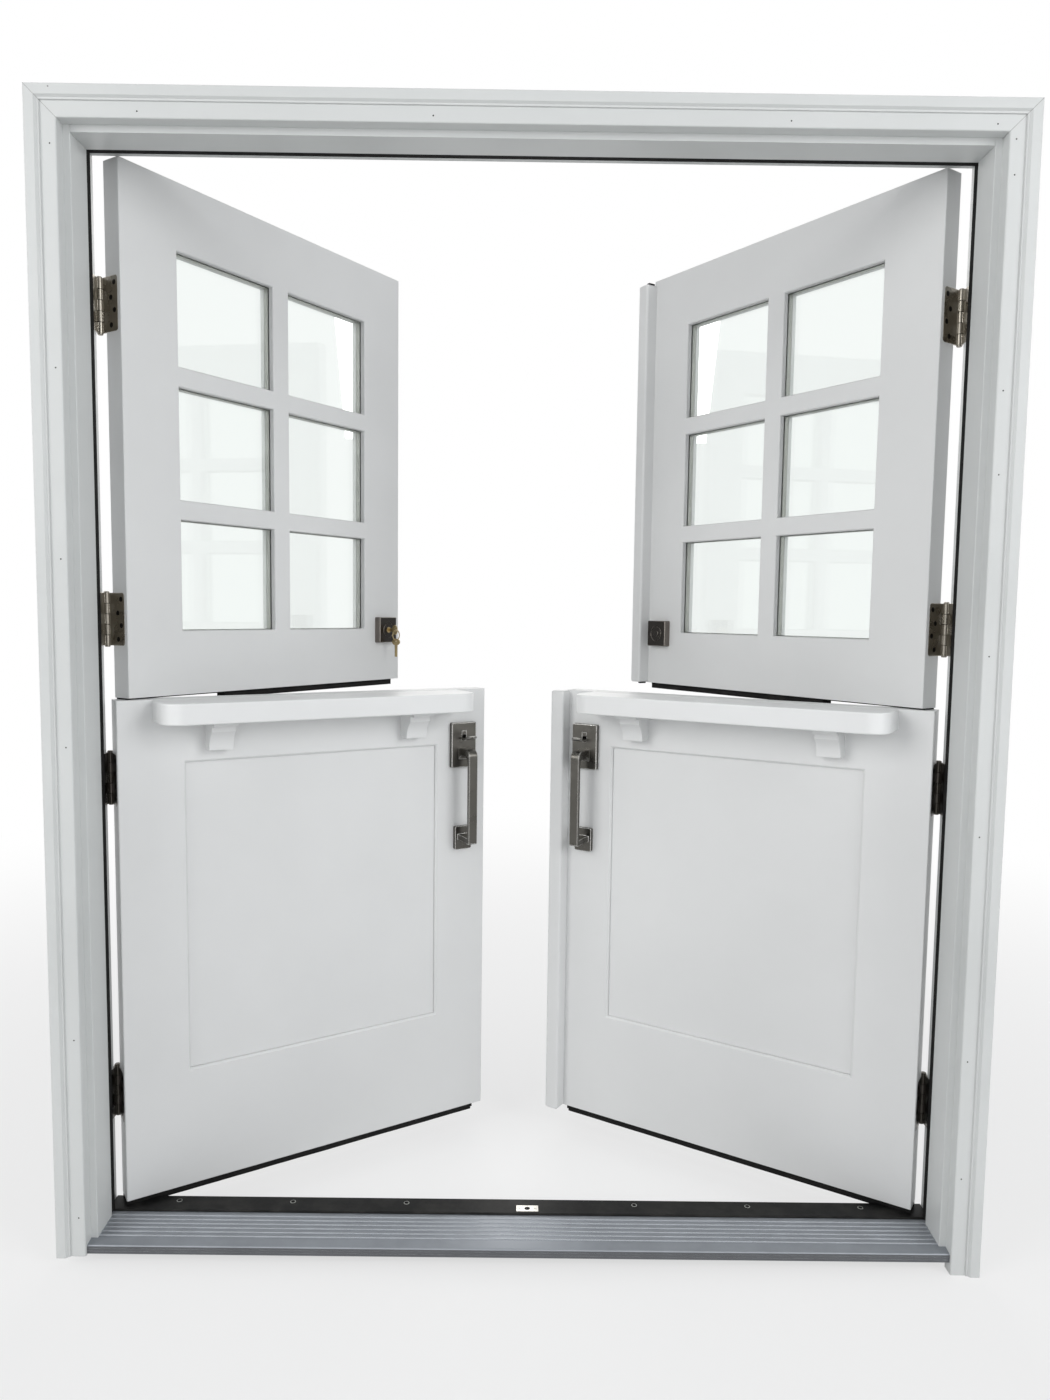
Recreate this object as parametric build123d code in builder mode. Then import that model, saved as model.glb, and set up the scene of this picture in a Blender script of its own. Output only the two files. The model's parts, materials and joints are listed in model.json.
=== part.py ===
# Pair of glazed Dutch doors in its frame. Each side has an upper and a lower leaf that open inwards.
# X runs to the right seen from outside, Y into the house, Z up. The origin is the middle of the
# sill's underside, in the plane of the jambs' outer edges.
from build123d import *
import math
import os

os.makedirs("parts", exist_ok=True)

# Leaves
leaf_width = 812.2
leaf_height = 1002.0
leaf_thickness = 44.45
upper_left_angle = 57.8
upper_right_angle = 55.9
lower_left_angle = 32.2
lower_right_angle = 31.8

# Gaps round the leaves
hinge_gap = 3.0
lock_gap = 3.0
split_gap = 3.0
head_gap = 5.7
sweep_gap = 11.0
seat_clearance = 0.3

# Jambs and stops
jamb_wall = 19.05
jamb_depth = 120.65
rabbet_step = 12.7
stop_easing = 1.5
weather_gap = 9.6

# Weatherstrip
kerf_width = 3.2
kerf_depth = 9.0
kerf_from_edge = 4.0
strip_leg_width = 2.4

# Casing
casing_width = 52.6
casing_thickness = 31.75
casing_flat_thickness = 25.4
casing_band_width = 17.5
casing_step_width = 3.5
casing_step_rise = 2.4
casing_arris = 2.5
left_casing_drop = 2.0
right_casing_drop = 21.5

# Sill and its cap
sill_nose_overhang = 20.0
sill_nose_height = 16.5
sill_mouth_height = 19.0
sill_height = 23.0
sill_back_overhang = 7.4
sill_rib_pitch = 12.0
sill_rib_height = 1.6
sill_rib_width = 2.4
sill_nose_radius = 3.0
sill_line_depth = 0.8
sill_line_width = 1.2
cap_height = 4.0
cap_depth = 49.0
cap_radius = 2.0
strike_length = 44.0
strike_width = 20.0
strike_thickness = 1.0

# Upper leaf: frame of the sash, muntins and double glass
stile_width = 130.0
sash_rail_width = 130.0
upright_muntin_width = 46.5
level_muntin_width = 39.5
pane_columns = 2
pane_rows = 3
pane_easing = 2.0
lite_thickness = 4.0
spacer_depth = 11.0
glass_bite = 9.0
glass_edge_gap = 1.0
glass_face_gap = 0.2
spacer_sight = 1.5
spacer_inset = 2.0

# Lower leaf: frame, panel, shelf and brackets
panel_stile_width = 129.0
panel_top_rail = 127.5
panel_bottom_rail = 244.5
panel_lock_stile = 126.5
panel_recess = 8.0
panel_tongue = 10.0
panel_tongue_thickness = 12.0
panel_gap = 0.3
opening_bevel = 4.0
leaf_easing = 1.5
shelf_start = 66.0
shelf_end_gap = 74.2
shelf_depth = 106.0
shelf_thickness = 41.5
shelf_drop = 0.7
shelf_corner_radius = 38.0
shelf_easing = 3.0
bracket_hinge_inset = 125.0
bracket_lock_inset = 117.0
bracket_width = 48.0
bracket_height = 60.0
bracket_lip_depth = 66.0
bracket_lip_height = 10.0
bracket_neck_depth = 48.0
bracket_foot_depth = 30.0
bracket_curve_rise = 12.0

# Sweeps and seals along the bottoms of the leaves
seal_end_gap = 22.2
seal_setback = 6.0
seal_width = 32.0
seal_height = 2.5
sweep_height = 10.5
sweep_base = 3.0
sweep_fin = 3.0

# Hinges
hinge_height = 101.6
hinge_plate_thickness = 3.1
hinge_plate_reach = 50.8
hinge_corner_radius = 6.0
hinge_knuckles = 5
knuckle_gap = 0.4
barrel_radius = 6.5
barrel_relief = 0.8
hinge_pin_radius = 3.2
hinge_pin_clearance = 0.05
pin_setback = 15.6
pin_tip_radius = 5.4
pin_tip_height = 3.0
pin_tip_easing = 1.2
upper_top_hinge_drop = 260.0
upper_bottom_hinge_rise = 152.0
lower_top_hinge_drop = 156.0
lower_bottom_hinge_rise = 209.0

# Astragals
astragal_stem = 6.35
astragal_flange_width = 33.4
astragal_flange_lap = 7.85
astragal_thickness = 31.0
astragal_face_gap = 1.0
astragal_radius = 6.0
upper_astragal_bottom = 1.0
upper_astragal_head_gap = 4.0
lower_astragal_bottom = 2.0
lower_astragal_top = 1.0

# Surface bolts in the right leaves' lock edge
bolt_radius = 4.75
bolt_bore_clearance = 0.08
bolt_edge_distance = 8.0
bolt_face_distance = 20.0
bolt_length = 90.0
bolt_travel = 16.0
foot_bolt_travel = 24.0
bolt_setback = 1.0
bolt_hole_clearance = 0.6
stud_radius = 2.5
stud_rise = 60.0
stud_slot_clearance = 0.5
stud_recess = 0.6

# Deadbolt lock
lock_backset = 60.0
deadbolt_rise = 126.5
rose_size = 63.5
rose_thickness = 17.0
rose_corner_radius = 3.0
rose_easing = 1.2
collar_radius = 20.0
collar_width = 3.0
collar_sink = 1.5
plug_radius = 7.0
plug_clearance = 0.08
plug_proud = 1.5
plug_length = 30.0
deadbolt_radius = 11.0
deadbolt_length = 44.0
deadbolt_throw = 25.4
lock_bore_radius = 20.0
strike_plate_length = 57.0
strike_plate_width = 26.0
strike_plate_thickness = 1.5
strike_hole_clearance = 1.5
turn_plate_radius = 30.0
turn_plate_thickness = 10.0
turn_shaft_radius = 5.0
turn_grip_length = 38.0
turn_grip_width = 7.0
turn_grip_depth = 20.0

# Keys
key_thickness = 2.0
key_neck_length = 11.0
key_neck_height = 8.0
key_blade_height = 7.0
key_blade_length = 24.0
key_bow_half_width = 12.5
key_bow_half_length = 8.5
key_hole_radius = 2.6
key_hole_offset = 4.0
spare_key_neck_length = 5.0
ring_radius = 13.0
ring_wire = 1.8
keyway_height = 7.6
keyway_width = 2.6

# Handlesets
plate_height = 104.0
plate_thickness = 11.0
plate_drop = 128.0
grip_front = 56.0
grip_width = 22.0
grip_depth = 9.5
grip_drop = 7.0
grip_length = 218.0
grip_arm_width = 46.0
grip_arm_height = 26.0
grip_bend = 16.0
grip_underside_drop = 34.0
grip_easing = 2.0
grip_waist = 30.0
foot_width = 42.0
foot_height = 54.0
foot_thickness = 10.0
foot_rise = 8.0
foot_arm_rise = 17.0
foot_arm_height = 13.0
thumb_rise = 22.0
thumb_reach = 55.0
thumb_width = 24.0
thumb_thickness = 4.0
thumb_dip = 4.0
thumb_lift = 3.0
thumb_neck_width = 8.0
thumb_neck_length = 16.0
thumb_slot_width = 11.0
thumb_slot_height = 22.0
thumb_tail = 8.0
latch_below_thumb = 12.0
latch_radius = 9.0
latch_length = 40.0
latch_throw = 12.0
latch_pocket_extra = 2.0
lever_length = 105.0
lever_reach = 55.0
lever_radius = 8.0
lever_shaft_radius = 9.0
lever_bend = 14.0
inside_rose_radius = 33.0
inside_rose_thickness = 9.0

# Bolt that joins the upper left leaf to the lower left leaf, on the room side
interlock_setback = 153.7
interlock_plate_width = 34.0
interlock_plate_height = 92.0
interlock_plate_thickness = 3.0
interlock_rise = 4.0
interlock_guide_height = 14.0
interlock_guide_depth = 17.0
interlock_guide_width = 20.0
interlock_bolt_radius = 5.0
interlock_bolt_length = 84.0
interlock_knob_radius = 5.0
interlock_knob_length = 14.0
interlock_easing = 2.0
keeper_height = 22.0
keeper_drop = 2.0

# Levels and planes that follow from the sizes above
rabbet_half = lock_gap / 2 + leaf_width + hinge_gap
stop_half = rabbet_half - rabbet_step
jamb_half = rabbet_half + jamb_wall
face_y = jamb_depth - leaf_thickness
stop_depth = face_y - weather_gap
cap_back = jamb_depth + sill_back_overhang
cap_front = cap_back - cap_depth
cap_top = sill_height + cap_height
lower_bottom = cap_top + sweep_gap
lower_top = lower_bottom + leaf_height
upper_bottom = lower_top + split_gap
upper_top = upper_bottom + leaf_height
rabbet_top = upper_top + head_gap
stop_top = rabbet_top - rabbet_step
jamb_top = rabbet_top + jamb_wall
hinge_levels = [
    upper_top - upper_top_hinge_drop,
    upper_bottom + upper_bottom_hinge_rise,
    lower_top - lower_top_hinge_drop,
    lower_bottom + lower_bottom_hinge_rise,
]
pin_x = rabbet_half - hinge_gap / 2
pin_y = jamb_depth + pin_setback
right_slab_width = leaf_width - astragal_stem
shelf_length = leaf_width - shelf_start - shelf_end_gap
shelf_underside = lower_top - shelf_drop - shelf_thickness
bracket_places = (shelf_start + bracket_hinge_inset, shelf_start + shelf_length - bracket_lock_inset)
seal_length = leaf_width - seal_end_gap
plate_middle = lower_top - plate_drop
thumb_level = plate_middle + thumb_rise
latch_z = thumb_level - latch_below_thumb
grip_top = plate_middle - grip_drop
grip_bottom = grip_top - grip_length
foot_middle = grip_bottom + foot_rise
foot_arm_top = grip_bottom + foot_arm_rise

# On the bench each leaf lies along +X from its pin's axis, with the room side towards +Y
edge_x = hinge_gap / 2
lock_x = edge_x + leaf_width
front_y = -(leaf_thickness + pin_setback)
back_y = -pin_setback
lock_middle_x = lock_x - lock_backset
deadbolt_z = upper_bottom + deadbolt_rise
latch_y = (front_y + back_y) / 2
surface_bolt_x = edge_x + right_slab_width - bolt_edge_distance
surface_bolt_y = front_y + bolt_face_distance
frame_bolt_x = rabbet_half - hinge_gap + edge_x - surface_bolt_x
frame_bolt_y = face_y + bolt_face_distance


def block(x0, x1, y0, y1, z0, z1, mode=Mode.ADD):
    """Adds or cuts a rectangular block between two corners."""
    with BuildSketch(Plane.XY.offset(z0)) as base:
        with Locations(((x0 + x1) / 2, (y0 + y1) / 2)):
            Rectangle(x1 - x0, y1 - y0)
    extrude(base.sketch, amount=z1 - z0, mode=mode)


def rod(centre, direction, radius, length, mode=Mode.ADD):
    """Adds or cuts a round rod that starts at a point and runs along a direction."""
    with BuildSketch(Plane(origin=centre, z_dir=direction)) as end:
        Circle(radius)
    extrude(end.sketch, amount=length, mode=mode)


def outside_face(proud=0.0):
    """Plane of a leaf's outside face on the bench, looking out, with +X along the leaf."""
    return Plane.XZ.offset(-front_y + proud)


def room_face(proud=0.0):
    """Plane of a leaf's room face on the bench, looking into the room."""
    return Plane(origin=(0, back_y + proud, 0), x_dir=(-1, 0, 0), z_dir=(0, 1, 0))


def write(piece, label):
    """Names a finished piece and writes it."""
    piece.part.label = label
    export_step(piece.part, f"parts/{label}.step")


def write_mirrored(piece, label):
    """Writes the mirror image of a piece of the frame."""
    with BuildPart() as other_side:
        mirror(piece.part, about=Plane.YZ)
    write(other_side, label)


def hang(bench, side, angle, label):
    """Hangs a bench piece on its leaf, opened by an angle. Side is -1 for left, 1 for right."""
    place = Location((side * pin_x, pin_y, 0), (0, 0, -side * angle))
    with BuildPart() as hung:
        if side < 0:
            with Locations(place):
                add(bench.part)
        else:
            turned = mirror(bench.part, about=Plane.YZ, mode=Mode.PRIVATE)
            with Locations(place):
                add(turned)
    write(hung, label)


# Jambs: wall, stop and the kerf that holds the weatherstrip, in plan
kerf_middle = stop_half + kerf_from_edge + kerf_width / 2


def hinge_plate(plane, start, amount, mode=Mode.ADD):
    """Adds or cuts a hinge plate with its round front corners. The plane's X leaves the pin."""
    with BuildSketch(plane) as plate:
        with Locations(((start + hinge_plate_reach) / 2, 0)):
            Rectangle(hinge_plate_reach - start, hinge_height)
        fillet(plate.vertices().group_by(Axis.X)[-1], hinge_corner_radius)
    extrude(plate.sketch, amount=amount, mode=mode)


with BuildPart() as left_jamb:
    with BuildSketch():
        with BuildLine():
            Polyline(
                (-jamb_half, 0),
                (-stop_half, 0),
                (-stop_half, stop_depth),
                (-kerf_middle + kerf_width / 2, stop_depth),
                (-kerf_middle + kerf_width / 2, stop_depth - kerf_depth),
                (-kerf_middle - kerf_width / 2, stop_depth - kerf_depth),
                (-kerf_middle - kerf_width / 2, stop_depth),
                (-rabbet_half, stop_depth),
                (-rabbet_half, jamb_depth),
                (-jamb_half, jamb_depth),
                close=True,
            )
        make_face()
    extrude(amount=jamb_top)
    stop_arrises = (
        left_jamb.edges()
        .filter_by(Axis.Z)
        .filter_by_position(Axis.X, -stop_half - 0.01, -stop_half + 0.01)
    )
    fillet(stop_arrises, stop_easing)
    for level in hinge_levels:
        seat = Plane(origin=(-rabbet_half, pin_y, level), x_dir=(0, -1, 0), z_dir=(1, 0, 0))
        hinge_plate(seat, pin_setback, -hinge_plate_thickness, Mode.SUBTRACT)
write(left_jamb, "left_jamb")
write_mirrored(left_jamb, "right_jamb")

with BuildPart() as head_jamb:
    with BuildSketch(Plane.YZ):
        with BuildLine():
            kerf_z = stop_top + kerf_from_edge
            Polyline(
                (0, stop_top),
                (stop_depth, stop_top),
                (stop_depth, kerf_z),
                (stop_depth - kerf_depth, kerf_z),
                (stop_depth - kerf_depth, kerf_z + kerf_width),
                (stop_depth, kerf_z + kerf_width),
                (stop_depth, jamb_top),
                (0, jamb_top),
                close=True,
            )
        make_face()
    extrude(amount=stop_half, both=True)
    with BuildSketch(Plane.YZ):
        with Locations(((stop_depth + jamb_depth) / 2, (rabbet_top + jamb_top) / 2)):
            Rectangle(jamb_depth - stop_depth, jamb_top - rabbet_top)
    extrude(amount=rabbet_half, both=True)
    rod((frame_bolt_x, frame_bolt_y, rabbet_top), (0, 0, 1), bolt_radius + bolt_hole_clearance,
        bolt_travel, Mode.SUBTRACT)
write(head_jamb, "head_jamb")


# Casing: brick mould with a flat, two small steps and a raised outer band, mitred at the corners
def casing_outline():
    """Sketches the mould's section: first axis outwards from the opening, second axis proud."""
    flat_end = casing_width - casing_band_width - 2 * casing_step_width
    step_end = flat_end + casing_step_width
    band_start = casing_width - casing_band_width
    step_top = casing_flat_thickness + casing_step_rise
    with BuildLine() as section:
        Line((0, 0), (0, casing_flat_thickness - casing_arris))
        RadiusArc(
            (0, casing_flat_thickness - casing_arris),
            (casing_arris, casing_flat_thickness),
            casing_arris,
        )
        Polyline(
            (casing_arris, casing_flat_thickness),
            (flat_end, casing_flat_thickness),
            (flat_end, step_top),
            (step_end, step_top),
            (band_start, casing_thickness),
            (casing_width, casing_thickness),
            (casing_width, 0),
            (0, 0),
        )
    make_face(section.edges())


def mitre(side):
    """Plane of the mitre at one upper corner, looking up and towards the opening."""
    return Plane(origin=(side * rabbet_half, 0, rabbet_top), z_dir=(-side, 0, 1))


for side, drop, label in ((-1, left_casing_drop, "left_casing"), (1, right_casing_drop, "right_casing")):
    with BuildPart() as casing_leg:
        leg_plan = Plane(
            origin=(side * rabbet_half, 0, -drop), x_dir=(side, 0, 0), z_dir=(0, 0, -side)
        )
        with BuildSketch(leg_plan):
            casing_outline()
        extrude(amount=-side * (rabbet_top + casing_width + drop))
        split(bisect_by=mitre(side), keep=Keep.BOTTOM)
    write(casing_leg, label)

with BuildPart() as head_casing:
    with BuildSketch(Plane(origin=(0, 0, rabbet_top), x_dir=(0, 0, 1), z_dir=(1, 0, 0))):
        casing_outline()
    extrude(amount=rabbet_half + casing_width, both=True)
    split(bisect_by=mitre(-1), keep=Keep.TOP)
    split(bisect_by=mitre(1), keep=Keep.TOP)
write(head_casing, "head_casing")

# Sill: one extrusion with a bull nose, anti-slip ribs and a level seat for the cap
slope_length = cap_front
rib_count = math.floor((slope_length - sill_rib_width) / sill_rib_pitch)


def sill_level(y):
    """Height of the sill's sloping top at a depth."""
    return sill_mouth_height + (sill_height - sill_mouth_height) * y / slope_length


with BuildPart() as sill:
    with BuildSketch(Plane.YZ):
        with BuildLine():
            outline = [(0, sill_mouth_height)]
            for rib in range(rib_count):
                start = (rib + 0.5) * sill_rib_pitch
                end = start + sill_rib_width
                outline.append((start, sill_level(start)))
                outline.append((start + sill_rib_width / 4, sill_level(start) + sill_rib_height))
                outline.append((end - sill_rib_width / 4, sill_level(end) + sill_rib_height))
                outline.append((end, sill_level(end)))
            outline.append((cap_front, sill_height))
            outline.append((cap_back, sill_height))
            outline.append((cap_back, 0))
            outline.append((-sill_nose_overhang, 0))
            outline.append((-sill_nose_overhang, sill_nose_height))
            Polyline(*outline, close=True)
        make_face()
    extrude(amount=rabbet_half, both=True)
    nose = sill.edges().filter_by(Axis.X).sort_by(Axis.Y).group_by(Axis.Y)[0].sort_by(Axis.Z)[-1]
    fillet(nose, sill_nose_radius)
    for line in (1, 2):
        line_z = line * sill_nose_height / 3
        block(-rabbet_half, rabbet_half, -sill_nose_overhang, -sill_nose_overhang + sill_line_depth,
              line_z - sill_line_width / 2, line_z + sill_line_width / 2, Mode.SUBTRACT)
    for side in (-1, 1):
        inner, outer = sorted((side * stop_half, side * rabbet_half))
        block(inner, outer, 0, stop_depth, 0, sill_height + sill_rib_height, Mode.SUBTRACT)
    rod((frame_bolt_x, frame_bolt_y, sill_height), (0, 0, -1), bolt_radius + bolt_hole_clearance,
        bolt_travel, Mode.SUBTRACT)
write(sill, "sill")

with BuildPart() as sill_cap:
    with BuildSketch(Plane.YZ):
        with Locations(((cap_front + cap_back) / 2, sill_height + cap_height / 2)):
            Rectangle(cap_depth, cap_height)
    extrude(amount=rabbet_half, both=True)
    cap_rims = sill_cap.edges().filter_by(Axis.X).group_by(Axis.Z)[-1]
    fillet(cap_rims, cap_radius)
    block(frame_bolt_x - strike_length / 2, frame_bolt_x + strike_length / 2,
          frame_bolt_y - strike_width / 2, frame_bolt_y + strike_width / 2,
          cap_top - strike_thickness, cap_top, Mode.SUBTRACT)
    rod((frame_bolt_x, frame_bolt_y, cap_top), (0, 0, -1), bolt_radius + bolt_hole_clearance,
        cap_height, Mode.SUBTRACT)
write(sill_cap, "sill_cap")

with BuildPart() as cap_strike:
    block(frame_bolt_x - strike_length / 2, frame_bolt_x + strike_length / 2,
          frame_bolt_y - strike_width / 2, frame_bolt_y + strike_width / 2,
          cap_top - strike_thickness, cap_top)
    rod((frame_bolt_x, frame_bolt_y, cap_top), (0, 0, -1), bolt_radius + bolt_hole_clearance,
        strike_thickness, Mode.SUBTRACT)
write(cap_strike, "cap_strike")


# Weatherstrip: a soft bulb on the stop's shoulder with a leg in the kerf
def strip_outline(width):
    """Sketches the strip: first axis from the stop's edge outwards, second axis towards the leaf."""
    bulb_height = weather_gap - seat_clearance
    leg_start = kerf_from_edge + kerf_width / 2 - strip_leg_width / 2
    leg_end = leg_start + strip_leg_width
    leg_depth = kerf_depth - seat_clearance
    shoulder = bulb_height / 2
    with BuildLine() as section:
        Polyline(
            (width - seat_clearance, shoulder),
            (width - seat_clearance, 0),
            (leg_end, 0),
            (leg_end, -leg_depth),
            (leg_start, -leg_depth),
            (leg_start, 0),
            (seat_clearance, 0),
            (seat_clearance, shoulder),
        )
        ThreePointArc(
            (seat_clearance, shoulder), (width / 2, bulb_height), (width - seat_clearance, shoulder)
        )
    make_face(section.edges())


with BuildPart() as weatherstrip:
    for side in (-1, 1):
        strip_plan = Plane(
            origin=(side * stop_half, stop_depth, sill_height + cap_height),
            x_dir=(side, 0, 0),
            z_dir=(0, 0, side),
        )
        with BuildSketch(strip_plan):
            strip_outline(rabbet_step)
        extrude(amount=side * (stop_top - cap_top))
    with BuildSketch(Plane(origin=(0, stop_depth, stop_top), x_dir=(0, 0, 1), z_dir=(-1, 0, 0))):
        strip_outline(rabbet_step)
    extrude(amount=stop_half, both=True)
write(weatherstrip, "weatherstrip")


# Hinges: five knuckles, three on the jamb and two on the leaf, round one loose pin
knuckle_height = hinge_height / hinge_knuckles


def hinge_half(side, pin, level, knuckles):
    """Adds one half of a hinge, its plate and knuckles, on one side of the pin's X and Y."""
    near = side * hinge_gap / 2
    far = side * (hinge_gap / 2 + hinge_plate_thickness)
    inner, outer = sorted((near, far))
    flat = Plane(origin=(pin[0] + near, pin[1], level), x_dir=(0, -1, 0), z_dir=(1, 0, 0))
    relief = barrel_radius + barrel_relief
    hinge_plate(flat, relief, side * hinge_plate_thickness)
    for knuckle in knuckles:
        bottom = level - hinge_height / 2 + knuckle * knuckle_height + knuckle_gap / 2
        with BuildSketch(Plane(origin=(*pin, bottom))) as ring:
            Circle(barrel_radius)
            with Locations(((inner + outer) / 2, -relief / 2)):
                Rectangle(outer - inner, relief)
            Circle(hinge_pin_radius + hinge_pin_clearance, mode=Mode.SUBTRACT)
        extrude(ring.sketch, amount=knuckle_height - knuckle_gap)


jamb_knuckles = range(0, hinge_knuckles, 2)
leaf_knuckles = range(1, hinge_knuckles, 2)

with BuildPart() as jamb_hinge_leaves:
    for level in hinge_levels:
        for side in (-1, 1):
            hinge_half(side, (side * pin_x, pin_y), level, jamb_knuckles)
write(jamb_hinge_leaves, "jamb_hinge_leaves")

with BuildPart() as hinge_pins:
    for level in hinge_levels:
        for side in (-1, 1):
            bottom = level - hinge_height / 2
            with BuildSketch(Plane(origin=(side * pin_x, pin_y, 0), x_dir=(1, 0, 0), z_dir=(0, -1, 0))):
                with BuildLine():
                    Polyline(
                        (0, bottom - pin_tip_height),
                        (pin_tip_radius - pin_tip_easing, bottom - pin_tip_height),
                        (pin_tip_radius, bottom - pin_tip_height + pin_tip_easing),
                        (pin_tip_radius, bottom),
                        (hinge_pin_radius, bottom),
                        (hinge_pin_radius, bottom + hinge_height),
                        (pin_tip_radius, bottom + hinge_height),
                        (pin_tip_radius, bottom + hinge_height + pin_tip_height - pin_tip_easing),
                        (pin_tip_radius - pin_tip_easing, bottom + hinge_height + pin_tip_height),
                        (0, bottom + hinge_height + pin_tip_height),
                        close=True,
                    )
                make_face()
            revolve(axis=Axis((side * pin_x, pin_y, 0), (0, 0, 1)))
write(hinge_pins, "hinge_pins")


def leaf_hinges(levels):
    """Makes the halves of a leaf's hinges on the bench."""
    with BuildPart() as halves:
        for level in levels:
            hinge_half(1, (0, 0), level, leaf_knuckles)
    return halves


def sink_hinge_seats(levels):
    """Cuts the seats of a leaf's hinges into its edge on the bench."""
    for level in levels:
        seat = Plane(origin=(edge_x, 0, level), x_dir=(0, -1, 0), z_dir=(1, 0, 0))
        hinge_plate(seat, pin_setback, hinge_plate_thickness, Mode.SUBTRACT)


def surface_bolt_seat(end_z, direction, travel):
    """Cuts the bore of an edge bolt and the slot of its stud. Direction is 1 upwards."""
    bore_length = bolt_setback + bolt_length + bolt_setback
    bore_start = end_z - direction * bore_length
    rod((surface_bolt_x, surface_bolt_y, bore_start), (0, 0, direction),
        bolt_radius + bolt_bore_clearance, bore_length, Mode.SUBTRACT)
    cut_stud_slot(end_z, direction, travel)


def cut_stud_slot(end_z, direction, travel):
    """Cuts the slot in which the stud of an edge bolt slides."""
    stud_z = end_z - direction * (bolt_setback + stud_rise)
    reach = stud_radius + stud_slot_clearance
    low, high = sorted((stud_z - direction * reach, stud_z + direction * (travel + reach)))
    block(surface_bolt_x, lock_x + 1, surface_bolt_y - reach, surface_bolt_y + reach, low, high,
          Mode.SUBTRACT)


def surface_bolt(end_z, direction):
    """Makes an edge bolt with its stud, drawn back by its setback. Direction is 1 upwards."""
    with BuildPart() as bolt:
        foot = end_z - direction * (bolt_setback + bolt_length)
        rod((surface_bolt_x, surface_bolt_y, foot), (0, 0, direction), bolt_radius, bolt_length)
        tip = bolt.edges().filter_by(GeomType.CIRCLE).sort_by(Axis.Z)[-1 if direction > 0 else 0]
        chamfer(tip, bolt_radius / 3)
        stud_z = end_z - direction * (bolt_setback + stud_rise)
        rod((surface_bolt_x, surface_bolt_y, stud_z), (1, 0, 0), stud_radius,
            lock_x - stud_recess - surface_bolt_x)
    return bolt


# Upper leaves: a sash in one piece with its muntins, six panes of double glass
sash_opening_width = leaf_width - 2 * stile_width
sash_opening_height = leaf_height - 2 * sash_rail_width
pane_width = (sash_opening_width - (pane_columns - 1) * upright_muntin_width) / pane_columns
pane_height = (sash_opening_height - (pane_rows - 1) * level_muntin_width) / pane_rows
pane_pitch_x = pane_width + upright_muntin_width
pane_pitch_z = pane_height + level_muntin_width
sash_middle = (edge_x + leaf_width / 2, upper_bottom + leaf_height / 2)
unit_thickness = 2 * lite_thickness + spacer_depth
unit_start = (leaf_thickness - unit_thickness) / 2
glass_width = pane_width + 2 * (glass_bite - glass_edge_gap)
glass_height = pane_height + 2 * (glass_bite - glass_edge_gap)


def pane_grid():
    """Places of the panes' middles on a face of the sash."""
    return GridLocations(pane_pitch_x, pane_pitch_z, pane_columns, pane_rows)


def pane_layer(depth, thickness, width, height, mode=Mode.ADD, inner=None):
    """Adds or cuts one rectangle in each pane, from a depth behind the outside face."""
    with BuildSketch(outside_face(-depth)) as layer:
        with Locations(sash_middle):
            with pane_grid():
                Rectangle(width, height)
                if inner:
                    Rectangle(*inner, mode=Mode.SUBTRACT)
    extrude(layer.sketch, amount=-thickness, mode=mode)


def upper_sash(slab_width, levels):
    """Makes a sash on the bench, without the seats of its lock."""
    with BuildPart() as sash:
        block(edge_x, edge_x + slab_width, front_y, back_y, upper_bottom, upper_top)
        chamfer(sash.edges().filter_by(Axis.Z), leaf_easing)
        pane_layer(0, leaf_thickness, pane_width, pane_height, Mode.SUBTRACT)
        front_rims = sash.edges().filter_by_position(Axis.Y, front_y - 0.01, front_y + 0.01)
        back_rims = sash.edges().filter_by_position(Axis.Y, back_y - 0.01, back_y + 0.01)
        rims = [
            rim
            for rim in front_rims + back_rims
            if abs(rim.center().X - sash_middle[0]) < sash_opening_width / 2 + 1
            and abs(rim.center().Z - sash_middle[1]) < sash_opening_height / 2 + 1
        ]
        chamfer(rims, pane_easing)
        pane_layer(unit_start - glass_face_gap, unit_thickness + 2 * glass_face_gap,
                   pane_width + 2 * glass_bite, pane_height + 2 * glass_bite, Mode.SUBTRACT)
        sink_hinge_seats(levels)
    return sash


with BuildPart() as glass:
    for depth in (unit_start, unit_start + lite_thickness + spacer_depth):
        pane_layer(depth, lite_thickness, glass_width, glass_height)

with BuildPart() as spacers:
    pane_layer(unit_start + lite_thickness, spacer_depth,
               glass_width - 2 * spacer_inset, glass_height - 2 * spacer_inset,
               inner=(pane_width - 2 * spacer_sight, pane_height - 2 * spacer_sight))

upper_levels = hinge_levels[:2]
lower_levels = hinge_levels[2:]
upper_hinges = leaf_hinges(upper_levels)
lower_hinges = leaf_hinges(lower_levels)

with BuildPart() as upper_seal:
    seal_front = front_y + seal_setback
    block(edge_x, edge_x + seal_length, seal_front, seal_front + seal_width,
          upper_bottom - seal_height, upper_bottom)

for side, angle, name in ((-1, upper_left_angle, "upper_left"), (1, upper_right_angle, "upper_right")):
    hang(glass, side, angle, f"{name}_glass")
    hang(spacers, side, angle, f"{name}_spacers")
    hang(upper_hinges, side, angle, f"{name}_hinge_leaves")
    hang(upper_seal, side, angle, f"{name}_seal")

# Deadbolt lock in the upper left leaf, dummy rose on the upper right leaf
deadbolt_bore_radius = deadbolt_radius + bolt_bore_clearance

with BuildPart() as left_sash:
    add(upper_sash(leaf_width, upper_levels).part)
    rod((lock_middle_x, front_y, deadbolt_z), (0, 1, 0), lock_bore_radius, leaf_thickness, Mode.SUBTRACT)
    rod((lock_x, latch_y, deadbolt_z), (-1, 0, 0), deadbolt_bore_radius, lock_backset, Mode.SUBTRACT)
hang(left_sash, -1, upper_left_angle, "upper_left_sash")

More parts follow.
